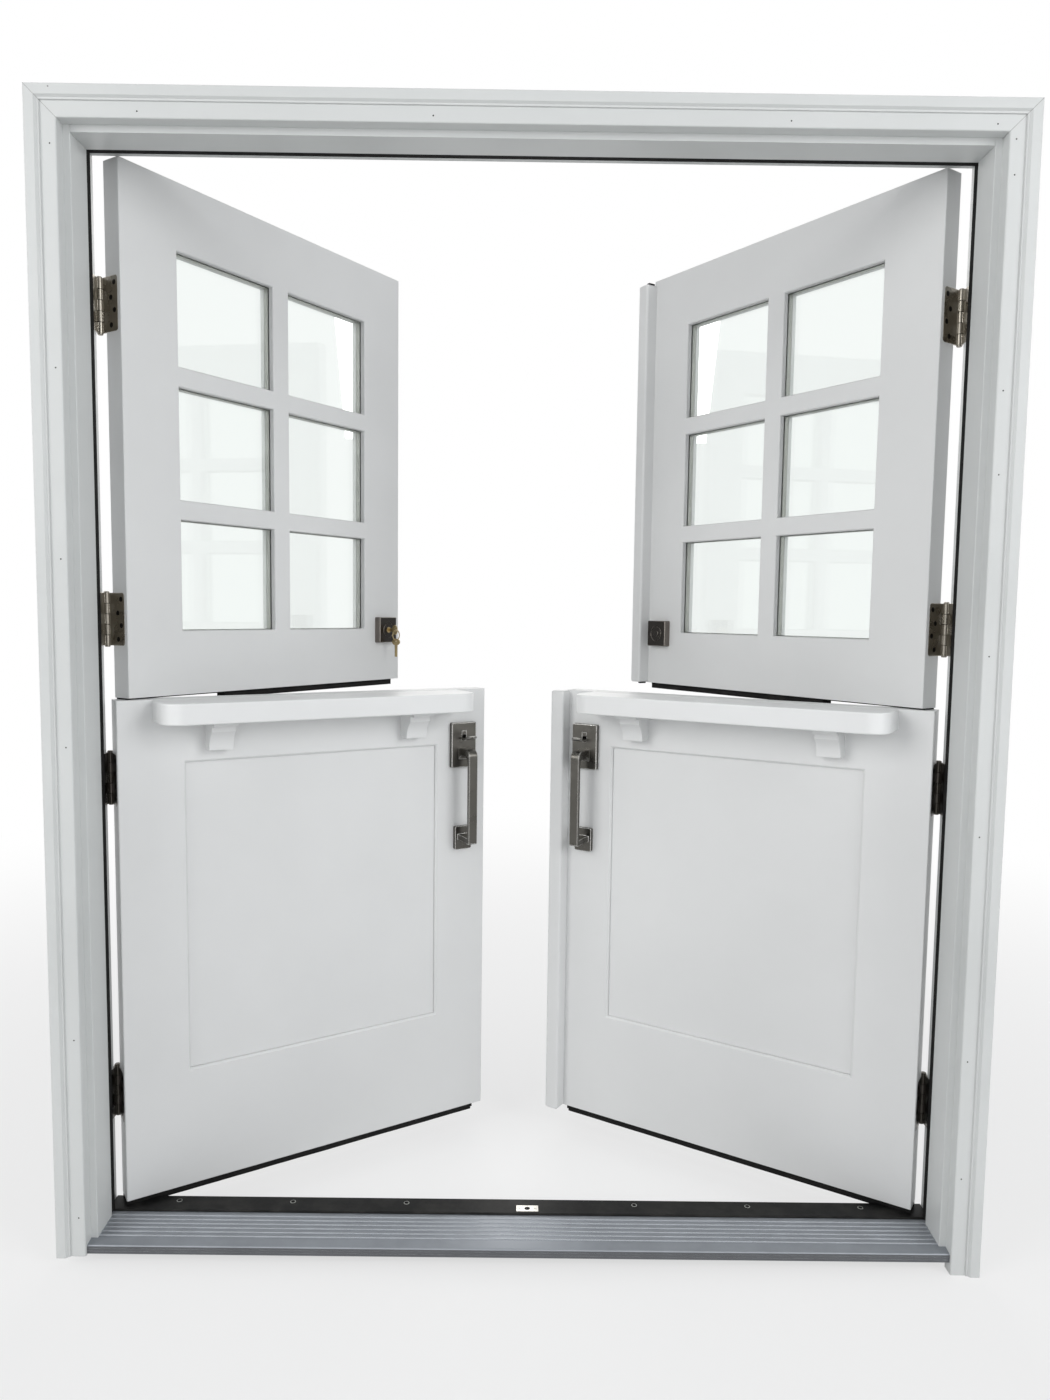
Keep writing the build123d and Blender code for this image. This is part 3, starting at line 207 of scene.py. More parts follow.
# %% Paint for frame and leaves
along_x, along_z = 0, 2
mitre_corner = (-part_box("left_casing")[1][0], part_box("head_casing")[0][2])
mitre_slant = mitre_corner[0] - mitre_corner[1]
mitre_half_width = 0.0004
corner_nail = (-0.826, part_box("head_casing")[0][1], 2.098)
corner_nail_radius = 0.0014
seam_grey = (0.24, 0.24, 0.23)
drift_scale, patch_scale, grain_scale, stipple_scale = 2.6, 9.0, 260.0, 900.0
grain_stretch = 0.04
grain_share = 0.45
paint_specular = 0.45
paint_bump = 0.00006
paint_arris = 0.0012


def math_step(tree, operation, first, second):
    """Adds one step of arithmetic on a socket and a number, or on two sockets."""
    step = add_node(tree, "ShaderNodeMath", operation=operation)
    link(tree, first, step.inputs[0])
    if isinstance(second, (int, float)):
        step.inputs[1].default_value = second
    else:
        link(tree, second, step.inputs[1])
    return step.outputs["Value"]


def blend_colours(tree, factor, first, second):
    """Mixes a colour socket towards a plain colour by a factor."""
    mix = add_node(tree, "ShaderNodeMix", data_type="RGBA")
    link(tree, factor, mix.inputs[0])
    link(tree, first, mix.inputs[6])
    mix.inputs[7].default_value = (*second, 1)
    return mix.outputs[2]


def mitre_line(tree, mapping):
    """One on the casings' mitre lines and on the nail by the left corner, zero elsewhere."""
    parts = add_node(tree, "ShaderNodeSeparateXYZ")
    link(tree, mapping.outputs["Vector"], parts.inputs["Vector"])
    across = math_step(tree, "ABSOLUTE", parts.outputs["X"], 0.0)
    slant = math_step(tree, "SUBTRACT", across, parts.outputs["Z"])
    from_line = math_step(tree, "ABSOLUTE", math_step(tree, "SUBTRACT", slant, mitre_slant), 0.0)
    on_line = math_step(tree, "LESS_THAN", from_line, mitre_half_width)
    outside = math_step(tree, "GREATER_THAN", across, mitre_corner[0])
    line = math_step(tree, "MULTIPLY", on_line, outside)
    away = add_node(tree, "ShaderNodeVectorMath", operation="DISTANCE")
    away.inputs[1].default_value = corner_nail
    link(tree, mapping.outputs["Vector"], away.inputs[0])
    spot = math_step(tree, "LESS_THAN", away.outputs["Value"], corner_nail_radius)
    return math_step(tree, "MAXIMUM", line, spot)


def paint(name, bright, dull, grain_axis, roughness, seam=False):
    """Semi-gloss paint over wood, with roller stipple and a faint grain along one axis."""
    material, tree, shader, mapping = new_finish(name, 0.0, roughness)
    drift = noise(tree, mapping, drift_scale, 4.0)
    colour = ramp(tree, drift.outputs["Fac"], [(0.32, dull), (0.68, bright)])
    if seam:
        colour = blend_colours(tree, mitre_line(tree, mapping), colour, seam_grey)
    link(tree, colour, shader.inputs["Base Color"])
    handled = noise(tree, mapping, patch_scale, 6.0)
    sheen = spread(tree, handled.outputs["Fac"], roughness - 0.07, roughness + 0.09)
    link(tree, sheen, shader.inputs["Roughness"])
    grain = noise(tree, stretched(tree, mapping, grain_axis, grain_stretch), grain_scale, 3.0)
    stipple = noise(tree, mapping, stipple_scale, 2.0)
    both = add_node(tree, "ShaderNodeMath", operation="MULTIPLY_ADD")
    both.inputs[1].default_value = grain_share
    link(tree, grain.outputs["Fac"], both.inputs[0])
    link(tree, stipple.outputs["Fac"], both.inputs[2])
    round_and_bump(tree, shader, both.outputs["Value"], paint_bump, paint_arris)
    shader.inputs["Specular IOR Level"].default_value = paint_specular
    return material


# Painted shade: the casing's white is drawn darker than the leaves' white, though both wear the same white
# paint.
shaded_casing_white = (0.635, 0.65, 0.645)
shaded_casing_dull = (0.59, 0.605, 0.60)
leaf_white = (0.75, 0.757, 0.755)
leaf_dull = (0.71, 0.717, 0.715)
shelf_white = (0.80, 0.81, 0.81)
upright_frame_paint = paint("upright_frame_paint", shaded_casing_white, shaded_casing_dull, along_z, 0.38, True)
level_frame_paint = paint("level_frame_paint", shaded_casing_white, shaded_casing_dull, along_x, 0.38, True)
leaf_paint = paint("leaf_paint", leaf_white, leaf_dull, along_z, 0.42)
shelf_paint = paint("shelf_paint", shelf_white, leaf_white, along_x, 0.36)
print("paints", shaded_casing_white, leaf_white)

# %% [markdown]
# ## Metals
# The handlesets and roses are dark satin nickel, with edges rubbed brighter and a painted highlight on
# them. The hinges are a warmer nickel. Brushing shows as a noise drawn out along one axis. Where hands
# rub, the metal is brighter, and the same edge colour also stands in for a painted highlight: the Bevel
# node's normal leaves the true normal only near an edge, and that difference drives both. The roses'
# fronts are darker than their sides as painted shade, the frame's hinge halves are darker below a height
# as painted shade, and the sill's nosing is darker than its ribs, so the helper can also darken a finish
# by the way that a face looks or below a height.

# %% Brushed and worn metal, with painted highlights and painted shade
# A near-black for painted shade, and for the sill's darker nosing.
shade_and_nosing_dark = (0.022, 0.020, 0.018)
front_cosine = 0.93
front_shade_share = 0.95
brush_scale, tarnish_scale = 2200.0, 30.0
brush_stretch = 0.03
brush_bump = 0.000012
tarnish_share = 0.88
flat_cosine, edge_cosine = 0.995, 0.90


def metal(name, body, edge_wear_and_highlight, brush_axis, roughness, arris, dark_below=None, painted_front_shade=None, metallic=1.0):
    """Brushed metal, brighter at edges as rubbing wear and a painted highlight, and perhaps darker below a
    height, or on its front as painted shade.
    """
    material, tree, shader, mapping = new_finish(name, metallic, roughness)
    brushing = noise(tree, stretched(tree, mapping, brush_axis, brush_stretch), brush_scale, 3.0)
    tarnish = noise(tree, mapping, tarnish_scale, 4.0, 0.55)
    darker = tuple(tarnish_share * channel for channel in body)
    surface = ramp(tree, tarnish.outputs["Fac"], [(0.3, darker), (0.7, body)])
    bevel = round_and_bump(tree, shader, brushing.outputs["Fac"], brush_bump, arris)
    geometry = add_node(tree, "ShaderNodeNewGeometry")
    same = add_node(tree, "ShaderNodeVectorMath", operation="DOT_PRODUCT")
    link(tree, bevel.outputs["Normal"], same.inputs[0])
    link(tree, geometry.outputs["Normal"], same.inputs[1])
    edge = add_node(tree, "ShaderNodeMapRange")
    edge.inputs["From Min"].default_value = flat_cosine
    edge.inputs["From Max"].default_value = edge_cosine
    link(tree, same.outputs["Value"], edge.inputs["Value"])
    # Brighter edges: rubbing wear and a painted highlight together.
    colour = blend_colours(tree, edge.outputs["Result"], surface, edge_wear_and_highlight)
    # Darker below a height: painted shade on the frame's lower hinge halves, and the sill's darker nosing.
    if dark_below is not None:
        parts = add_node(tree, "ShaderNodeSeparateXYZ")
        link(tree, mapping.outputs["Vector"], parts.inputs["Vector"])
        low = math_step(tree, "LESS_THAN", parts.outputs["Z"], dark_below[0])
        share = math_step(tree, "MULTIPLY", low, dark_below[1])
        colour = blend_colours(tree, share, colour, shade_and_nosing_dark)
    # Painted shade: faces that look the given way are drawn darker.
    if painted_front_shade is not None:
        coordinates = add_node(tree, "ShaderNodeTexCoord")
        facing = add_node(tree, "ShaderNodeVectorMath", operation="DOT_PRODUCT")
        facing.inputs[1].default_value = painted_front_shade
        link(tree, coordinates.outputs["Normal"], facing.inputs[0])
        front = math_step(tree, "GREATER_THAN", facing.outputs["Value"], front_cosine)
        share = math_step(tree, "MULTIPLY", front, front_shade_share)
        colour = blend_colours(tree, share, colour, shade_and_nosing_dark)
    link(tree, colour, shader.inputs["Base Color"])
    gloss = spread(tree, tarnish.outputs["Fac"], roughness - 0.06, roughness + 0.10)
    link(tree, gloss, shader.inputs["Roughness"])
    return material


split_height = 1.04
nosing_height = 0.0145
rose_body, rose_edge_wear_and_highlight = (0.20, 0.18, 0.165), (0.46, 0.43, 0.39)
hinge_edge_wear_and_highlight = (0.78, 0.73, 0.64)
# The edge colours of these metals are rubbing wear and a painted highlight together.
dark_nickel = metal("dark_nickel", (0.12, 0.115, 0.104), (0.97, 0.96, 0.93), along_z, 0.30, 0.0022)
# Painted shade: the front of each rose is drawn darker than its sides.
left_rose = metal("left_rose", rose_body, rose_edge_wear_and_highlight, along_z, 0.33, 0.0014,
                  painted_front_shade=-leaf_axes("upper_left")[2])
right_rose = metal("right_rose", rose_body, rose_edge_wear_and_highlight, along_z, 0.33, 0.0014,
                   painted_front_shade=-leaf_axes("upper_right")[2])
hinge_nickel = metal("hinge_nickel", (0.255, 0.238, 0.205), hinge_edge_wear_and_highlight, along_z, 0.28, 0.0009)
# Painted shade: the lower leaves' hinge halves are the same nickel as the top ones, drawn darker.
shaded_hinge = metal("shaded_hinge", (0.11, 0.10, 0.09), (0.36, 0.33, 0.29), along_z, 0.34, 0.0006)
# Painted shade on the frame's hinge halves below the split height.
jamb_hinge = metal("jamb_hinge", (0.27, 0.252, 0.218), hinge_edge_wear_and_highlight, along_z, 0.28, 0.0009,
                   dark_below=(split_height, 0.72))
key_brass = metal("key_brass", (0.42, 0.33, 0.18), (0.80, 0.72, 0.52), along_z, 0.30, 0.0003)
bright_steel = metal("bright_steel", (0.52, 0.51, 0.48), (0.75, 0.74, 0.70), along_z, 0.28, 0.0005)
mill_aluminium = metal("mill_aluminium", (0.305, 0.325, 0.355), (0.78, 0.81, 0.85), along_x, 0.40, 0.0006,
                       dark_below=(nosing_height, 0.62), metallic=0.5)
black_oxide = metal("black_oxide", (0.012, 0.011, 0.010), (0.06, 0.055, 0.05), along_z, 0.5, 0.0002)
spacer_grey = metal("spacer_grey", (0.52, 0.53, 0.50), (0.60, 0.61, 0.58), along_z, 0.50, 0.0003)
print("metals ready")

# %% [markdown]
# ## Rubber, plastic and glass
# The weatherstrips, sweeps and the cap on the sill are black. Rubber is never quite even: dust lies on
# it in soft patches. The panes are clear float glass with a faint green, a little uneven, so that a
# reflection in them bends slightly. Each pane is two sheets with a gap, as the solids have it.

# %% Soft black pieces and glass
film_scale, skin_scale = 22.0, 1400.0
skin_bump, skin_arris = 0.00005, 0.0006
dull_specular = 0.15
wave_scale, wave_depth, wave_strength = 5.0, 0.0004, 0.25
glass_index = 1.46


def black(name, base, dust, roughness):
    """Black rubber or plastic with a dusty film."""
    material, tree, shader, mapping = new_finish(name, 0.0, roughness)
    film = noise(tree, mapping, film_scale, 7.0, 0.65)
    link(tree, ramp(tree, film.outputs["Fac"], [(0.42, base), (0.78, dust)]),
         shader.inputs["Base Color"])
    skin = noise(tree, mapping, skin_scale, 2.0)
    round_and_bump(tree, shader, skin.outputs["Fac"], skin_bump, skin_arris)
    link(tree, spread(tree, film.outputs["Fac"], roughness - 0.05, roughness + 0.15),
         shader.inputs["Roughness"])
    shader.inputs["Specular IOR Level"].default_value = dull_specular
    return material


def clear_glass(name, tint):
    """Float glass, a little wavy."""
    material, tree, shader, mapping = new_finish(name, 0.0, 0.0)
    shader.inputs["Base Color"].default_value = (*tint, 1)
    shader.inputs["Transmission Weight"].default_value = 1.0
    shader.inputs["IOR"].default_value = glass_index
    wave = noise(tree, mapping, wave_scale, 1.0)
    bump = add_node(tree, "ShaderNodeBump")
    bump.inputs["Distance"].default_value = wave_depth
    bump.inputs["Strength"].default_value = wave_strength
    link(tree, wave.outputs["Fac"], bump.inputs["Height"])
    link(tree, bump.outputs["Normal"], shader.inputs["Normal"])
    return material


black_rubber = black("black_rubber", (0.006, 0.006, 0.006), (0.022, 0.021, 0.020), 0.72)
black_cap = black("black_cap", (0.008, 0.008, 0.008), (0.035, 0.034, 0.032), 0.42)
pane_glass = clear_glass("pane_glass", (0.955, 0.975, 0.965))
print("soft blacks and glass ready")

# %% [markdown]
# ## Give each solid its finish
# A solid keeps its mesh, and only its material slots change. A name says what a piece is, so a short
# table of finishes and the last words of names covers all of them, left and right alike. The lower
# hinges carry painted shade: their leaf halves get a darker copy of the top hinges' nickel. The frame's
# hinge halves are all one node, so their finish turns darker by itself below the height where the upper
# leaves end, as painted shade.

# %% Finishes by the kind of piece
kinds_of_finish = [
    (upright_frame_paint, ("jamb", "casing")),
    (leaf_paint, ("sash", "frame", "panel", "brackets", "astragal")),
    (shelf_paint, ("shelf",)),
    (mill_aluminium, ("sill",)),
    (black_cap, ("sill_cap",)),
    (black_rubber, ("weatherstrip", "seal", "sweep")),
    (pane_glass, ("glass",)),
    (spacer_grey, ("spacers",)),
    (jamb_hinge, ("jamb_hinge_leaves", "hinge_pins")),
    (shaded_hinge, ("hinge_leaves",)),
    (key_brass, ("key_cylinder", "key_ring")),
    (dark_nickel, ("inside_rose", "escutcheon", "grip", "thumb", "turn", "turn_plate", "inside_lever",
                   "interlock_plate", "interlock_keeper")),
    (bright_steel, ("cap_strike", "interlock_bolt", "deadbolt", "deadbolt_strike", "latch",
                    "latch_strike", "head_bolt", "meeting_bolt", "foot_bolt")),
]
finish_by_kind = {kind: finish for finish, kinds in kinds_of_finish for kind in kinds}
finish_by_name = {
    "head_jamb": level_frame_paint,
    "head_casing": level_frame_paint,
    "upper_left_hinge_leaves": hinge_nickel,
    "upper_right_hinge_leaves": hinge_nickel,
    "upper_left_rose": left_rose,
    "upper_right_rose": right_rose,
}


def finish_of(name):
    """The finish of a node, by its whole name or by the longest kind that ends it."""
    if name in finish_by_name:
        return finish_by_name[name]
    kinds = [kind for kind in finish_by_kind if name == kind or name.endswith("_" + kind)]
    return finish_by_kind[max(kinds, key=len)]


for name, node in nodes.items():
    for place in range(max(1, len(node.material_slots))):
        if node.material_slots:
            node.material_slots[place].material = finish_of(name)
        else:
            node.data.materials.append(finish_of(name))
print("finished nodes", len(nodes))

# %% [markdown]
# ## Screws
# A hinge has four screws in each plate, in a zigzag, and the locks and the sill have more. All are the
# same low head with a cross recess, only larger or smaller, so one Geometry Nodes tree makes them: it
# cuts a cross from a shallow cone and sets a copy on every point, turned to face the way that the
# point says and then spun by a seeded random angle, because no two screws stop at the same turn.

# %% A tree that sets screws on points
def new_tree(name, inputs):
    """Makes a Geometry Nodes tree with named inputs. Returns tree, group input and group output."""
    tree = bpy.data.node_groups.new(name, "GeometryNodeTree")
    tree.interface.new_socket("Geometry", in_out="INPUT", socket_type="NodeSocketGeometry")
    for label, kind in inputs:
        tree.interface.new_socket(label, in_out="INPUT", socket_type="NodeSocket" + kind)
    tree.interface.new_socket("Geometry", in_out="OUTPUT", socket_type="NodeSocketGeometry")
    return tree, tree.nodes.new("NodeGroupInput"), tree.nodes.new("NodeGroupOutput")


def facing_rotation(tree, group):
    """Turns local Z to each point's facing, then spins it about that axis by a seeded angle."""
    facing = add_node(tree, "GeometryNodeInputNamedAttribute", data_type="FLOAT_VECTOR")
    facing.inputs["Name"].default_value = "facing"
    align = add_node(tree, "FunctionNodeAlignRotationToVector", axis="Z")
    link(tree, facing.outputs["Attribute"], align.inputs["Vector"])
    angle = add_node(tree, "FunctionNodeRandomValue", data_type="FLOAT")
    angle.inputs[3].default_value = math.tau
    link(tree, group.outputs["Seed"], angle.inputs["Seed"])
    upright = add_node(tree, "ShaderNodeCombineXYZ")
    link(tree, angle.outputs[1], upright.inputs["Z"])
    spin = add_node(tree, "FunctionNodeEulerToRotation")
    link(tree, upright.outputs["Vector"], spin.inputs["Euler"])
    turned = add_node(tree, "FunctionNodeRotateRotation", rotation_space="LOCAL")
    link(tree, align.outputs["Rotation"], turned.inputs["Rotation"])
    link(tree, spin.outputs["Rotation"], turned.inputs["Rotate By"])
    return turned.outputs["Rotation"]


def scaled(tree, value, factor):
    """Multiplies a value by a factor."""
    product = add_node(tree, "ShaderNodeMath", operation="MULTIPLY")
    product.inputs[1].default_value = factor
    link(tree, value, product.inputs[0])
    return product.outputs["Value"]


def lifted(tree, shape, rise):
    """Moves a shape up by a value."""
    lift = add_node(tree, "ShaderNodeCombineXYZ")
    link(tree, rise, lift.inputs["Z"])
    moved = add_node(tree, "GeometryNodeTransform")
    link(tree, shape, moved.inputs["Geometry"])
    link(tree, lift.outputs["Vector"], moved.inputs["Translation"])
    return moved.outputs["Geometry"]


def painted(tree, group, shape, label):
    """Gives a shape the material of one of the tree's inputs."""
    coloured = add_node(tree, "GeometryNodeSetMaterial")
    link(tree, shape, coloured.inputs["Geometry"])
    link(tree, group.outputs[label], coloured.inputs["Material"])
    return coloured.outputs["Geometry"]


def realized(tree, shape):
    """Turns instances into plain geometry, which the export needs."""
    real = add_node(tree, "GeometryNodeRealizeInstances")
    link(tree, shape, real.inputs["Geometry"])
    return real.outputs["Geometry"]


def copies_on_points(tree, group, shape):
    """Puts a copy of a shape on every point, turned the way that the point faces."""
    copies = add_node(tree, "GeometryNodeInstanceOnPoints")
    link(tree, group.outputs["Geometry"], copies.inputs["Points"])
    link(tree, shape, copies.inputs["Instance"])
    link(tree, facing_rotation(tree, group), copies.inputs["Rotation"])
    return realized(tree, copies.outputs["Instances"])


head_sides = 20
crown_share = 0.82
recess_length, recess_width, recess_depth = 1.15, 0.26, 1.7


def screw_tree():
    """A tree that puts a cross-recessed head on every point."""
    tree, group, result = new_tree("screws", [
        ("Head Radius", "Float"), ("Head Rise", "Float"), ("Seed", "Int"), ("Material", "Material")])
    radius, rise = group.outputs["Head Radius"], group.outputs["Head Rise"]
    head = add_node(tree, "GeometryNodeMeshCone")
    head.inputs["Vertices"].default_value = head_sides
    link(tree, scaled(tree, radius, crown_share), head.inputs["Radius Top"])
    link(tree, radius, head.inputs["Radius Bottom"])
    link(tree, rise, head.inputs["Depth"])
    cut = add_node(tree, "GeometryNodeMeshBoolean", operation="DIFFERENCE", solver="EXACT")
    link(tree, head.outputs["Mesh"], cut.inputs["Mesh 1"])
    for long_axis, short_axis in (("X", "Y"), ("Y", "X")):
        size = add_node(tree, "ShaderNodeCombineXYZ")
        link(tree, scaled(tree, radius, recess_length), size.inputs[long_axis])
        link(tree, scaled(tree, radius, recess_width), size.inputs[short_axis])
        link(tree, scaled(tree, rise, recess_depth), size.inputs["Z"])
        arm = add_node(tree, "GeometryNodeMeshCube")
        link(tree, size.outputs["Vector"], arm.inputs["Size"])
        link(tree, lifted(tree, arm.outputs["Mesh"], rise), cut.inputs["Mesh 2"])
    copies = copies_on_points(tree, group, cut.outputs["Mesh"])
    link(tree, painted(tree, group, copies, "Material"), result.inputs["Geometry"])
    return tree


screws = screw_tree()
print("screw tree has", len(screws.nodes), "nodes")

# %% [markdown]
# ## From points to a finished piece
# A tree needs something to work on: a mesh of bare points, each with the direction that it faces. The
# modifier's inputs are set by identifier, the result is made a plain mesh, and the points go. What is
# left is a normal piece that can ride on a body.

# %% Run a tree on a mesh or on a list of points
def new_piece(name, mesh, body):
    """Makes a piece from a mesh and lets it ride on a body."""
    piece = bpy.data.objects.new(name, mesh)
    bpy.context.collection.objects.link(piece)
    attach(piece, body)
    return piece


def run_tree(name, mesh, tree, settings, body):
    """Makes a piece by running a tree on a mesh."""
    holder = bpy.data.objects.new(name + "_holder", mesh)
    bpy.context.collection.objects.link(holder)
    modifier = holder.modifiers.new("grow", "NODES")
    modifier.node_group = tree
    sockets = {item.name: item.identifier for item in tree.interface.items_tree if item.in_out == "INPUT"}
    for label, value in settings.items():
        modifier[sockets[label]] = value
    evaluated = holder.evaluated_get(bpy.context.evaluated_depsgraph_get())
    grown = bpy.data.meshes.new_from_object(evaluated)
    holder.modifiers.remove(modifier)
    bpy.data.objects.remove(holder)
    grown.name = name
    print(name, len(grown.polygons), "faces")
    return new_piece(name, grown, body)


def grow(name, tree, places, settings, body):
    """Runs a tree on places of (point, facing)."""
    seeds = bpy.data.meshes.new(name + "_points")
    seeds.from_pydata([point for point, facing in places], [], [])
    attribute = seeds.attributes.new("facing", "FLOAT_VECTOR", "POINT")
    for index, (point, facing) in enumerate(places):
        attribute.data[index].vector = facing
    return run_tree(name, seeds, tree, settings, body)


def screw_row(name, places, radius, rise, finish, body, seed):
    """Sets one size of screw on a list of places."""
    settings = {"Head Radius": radius, "Head Rise": rise, "Seed": seed, "Material": finish}
    return grow(name, screws, places, settings, body)


print("piece helpers ready")

# %% [markdown]
# ## Where the screws go
# The plates of a hinge lie against each other when its leaf is shut, so the heads may stand only a
# little proud. On a leaf the plate is let into the narrow edge and faces the jamb. On the frame it is
# let into the jamb and faces the opening.

# %% Hinge screws
hinge_middles = [1785 * mm, 1195 * mm, 884 * mm, 247 * mm]
hinge_levels = {leaf: hinge_middles[:2] if "upper" in leaf else hinge_middles[2:] for leaf in leaves}
screw_heights = (38.5 * mm, 12.0 * mm, -12.0 * mm, -38.5 * mm)
screw_depths = (-41.0 * mm, -31.0 * mm)
leaf_edge = 1.5 * mm
hinge_screw_radius = 4.9 * mm
hinge_screw_rise = 0.4 * mm

for number, leaf in enumerate(leaves):
    along = leaf_axes(leaf)[1]
    places = [
        (on_leaf(leaf, leaf_edge, screw_depths[turn % 2], level + height), -along)
        for level in hinge_levels[leaf]
        for turn, height in enumerate(screw_heights)
    ]
    screw_row(leaf + "_hinge_screws", places, hinge_screw_radius, hinge_screw_rise, black_oxide,
              leaf + "_leaf", number)

jamb_places = []
for leaf in leaves:
    pin = leaf_axes(leaf)[0]
    side = 1 if pin.x > 0 else -1
    for level in hinge_levels[leaf]:
        for turn, height in enumerate(screw_heights):
            point = Vector((pin.x + side * leaf_edge, pin.y + screw_depths[turn % 2], level + height))
            jamb_places.append((point, Vector((-side, 0, 0))))
screw_row("jamb_hinge_screws", jamb_places, hinge_screw_radius, hinge_screw_rise, black_oxide,
          "frame", 4)

# %% [markdown]
# ## Screws of locks, strikes and sill
# The strike plates sit in the edge of the astragal and have one screw above and one below the hole.
# The plates on the inner faces have theirs in pairs, and so has the small strike in the sill's cap. A
# list of single places would do, but two screws stand evenly about a middle, so a helper takes the
# middle and the step.

# %% Lock and strike screws
lock_edge = 813.7 * mm
lock_middle = 753.7 * mm
inner_face = -15.6 * mm
bolt_depth = -37.825 * mm
deadbolt_height = 1169.5 * mm
latch_height = 922.0 * mm
strike_spacing = 21.5 * mm
small_screw = 3.2 * mm
small_rise = 0.5 * mm
flush_rise = 0.25 * mm
turn_plate_depth, turn_screw_reach = 10.0 * mm, 24.0 * mm
interlock_inset, interlock_depth = 153.7 * mm, 3.0 * mm
interlock_screw_drop, interlock_screw_reach = 20.0 * mm, 12.0 * mm
rose_depth, rose_screw_reach = 9.0 * mm, 25.0 * mm
keeper_screw_reach = 13.4 * mm
cap_screw_radius, cap_screw_reach = 3.0 * mm, 16.0 * mm


def pair(leaf, middle, step, facing):
    """Two places, one each side of a middle given in bench coordinates."""
    return [(on_leaf(leaf, *(middle + step * sign)), facing) for sign in (-1, 1)]


for leaf, height, slot, seed in (("upper_right", deadbolt_height, "bright_steel", 11),
                                 ("lower_right", latch_height, "bright_steel", 12)):
    along = leaf_axes(leaf)[1]
    strike = pair(leaf, Vector((lock_edge, bolt_depth, height)), Vector((0, 0, strike_spacing)), along)
    screw_row(leaf + "_strike_screws", strike, small_screw, flush_rise, bright_steel,
              leaf + "_leaf", seed)

inward = leaf_axes("upper_left")[2]
turn_screws = pair("upper_left", Vector((lock_middle, inner_face + turn_plate_depth, deadbolt_height)),
                   Vector((turn_screw_reach, 0, 0)), inward)
interlock_middle = lock_edge - interlock_inset
interlock_face = inner_face + interlock_depth


def middle_height(name):
    """The height of the middle of a node's box."""
    low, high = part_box(name)
    return (low[2] + high[2]) / 2


plate_screws = []
for offset in (-interlock_screw_drop, interlock_screw_drop):
    height = middle_height("upper_left_interlock_plate") + offset
    plate_screws += pair("upper_left", Vector((interlock_middle, interlock_face, height)),
                         Vector((interlock_screw_reach, 0, 0)), inward)
screw_row("upper_left_lock_screws", turn_screws + plate_screws, small_screw, small_rise, dark_nickel,
          "upper_left_leaf", 13)

inward = leaf_axes("lower_left")[2]
rose_screws = pair("lower_left", Vector((lock_middle, inner_face + rose_depth, latch_height)),
                   Vector((0, 0, rose_screw_reach)), inward)
keeper_height = middle_height("lower_left_interlock_keeper")
keeper_screws = pair("lower_left", Vector((interlock_middle, interlock_face, keeper_height)),
                     Vector((keeper_screw_reach, 0, 0)), inward)
screw_row("lower_left_lock_screws", rose_screws + keeper_screws, small_screw, small_rise, dark_nickel,
          "lower_left_leaf", 14)

strike_low, strike_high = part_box("cap_strike")
strike_y = (strike_low[1] + strike_high[1]) / 2
strike_x = (strike_low[0] + strike_high[0]) / 2
upward = Vector((0, 0, 1))
strike_places = [(Vector((strike_x + sign * cap_screw_reach, strike_y, strike_high[2])), upward)
                 for sign in (-1, 1)]
screw_row("cap_strike_screws", strike_places, cap_screw_radius, flush_rise, bright_steel,
          "frame", 15)

# %% [markdown]
# ## Nail dents and screw plugs
# The casing is nailed on, and the nails are driven a little below the face: each leaves a small dark
# dent with a soft raised lip in the paint. The tree makes the lip and the dark floor of the dent, and
# sets both on every point. The plugs over the screws of the sill's cap are the same shape, only larger,
# with a narrow grey rim, so the same tree makes them.

# %% A tree for dents and plugs
spot_sides = 16
floor_level = 0.5


def dent_tree():
    """A tree that puts a lip round a dark spot on every point."""
    tree, group, result = new_tree("rimmed_spots", [
        ("Dent Radius", "Float"), ("Lip Radius", "Float"), ("Lip Rise", "Float"), ("Seed", "Int"),
        ("Lip Finish", "Material"), ("Hole", "Material")])
    lip = add_node(tree, "GeometryNodeMeshCone", fill_type="NONE")
    lip.inputs["Vertices"].default_value = spot_sides
    link(tree, group.outputs["Lip Radius"], lip.inputs["Radius Bottom"])
    link(tree, group.outputs["Dent Radius"], lip.inputs["Radius Top"])
    link(tree, group.outputs["Lip Rise"], lip.inputs["Depth"])
    spot = add_node(tree, "GeometryNodeMeshCircle", fill_type="NGON")
    spot.inputs["Vertices"].default_value = spot_sides
    link(tree, group.outputs["Dent Radius"], spot.inputs["Radius"])
    raised_spot = lifted(tree, spot.outputs["Mesh"], scaled(tree, group.outputs["Lip Rise"], floor_level))
    lips = copies_on_points(tree, group, lip.outputs["Mesh"])
    holes = copies_on_points(tree, group, raised_spot)
    both = add_node(tree, "GeometryNodeJoinGeometry")
    link(tree, painted(tree, group, lips, "Lip Finish"), both.inputs["Geometry"])
    link(tree, painted(tree, group, holes, "Hole"), both.inputs["Geometry"])
    link(tree, both.outputs["Geometry"], result.inputs["Geometry"])
    return tree


spots = dent_tree()
print("spot tree has", len(spots.nodes), "nodes")

# %% [markdown]
# ## Where the nails and plugs are
# The nails stand on one line in the flat of the casing, at places taken from the photograph. An even
# row would be simpler, but hand-driven nails look wrong when they are even. The plugs follow the back
# edge of the sill's cap.

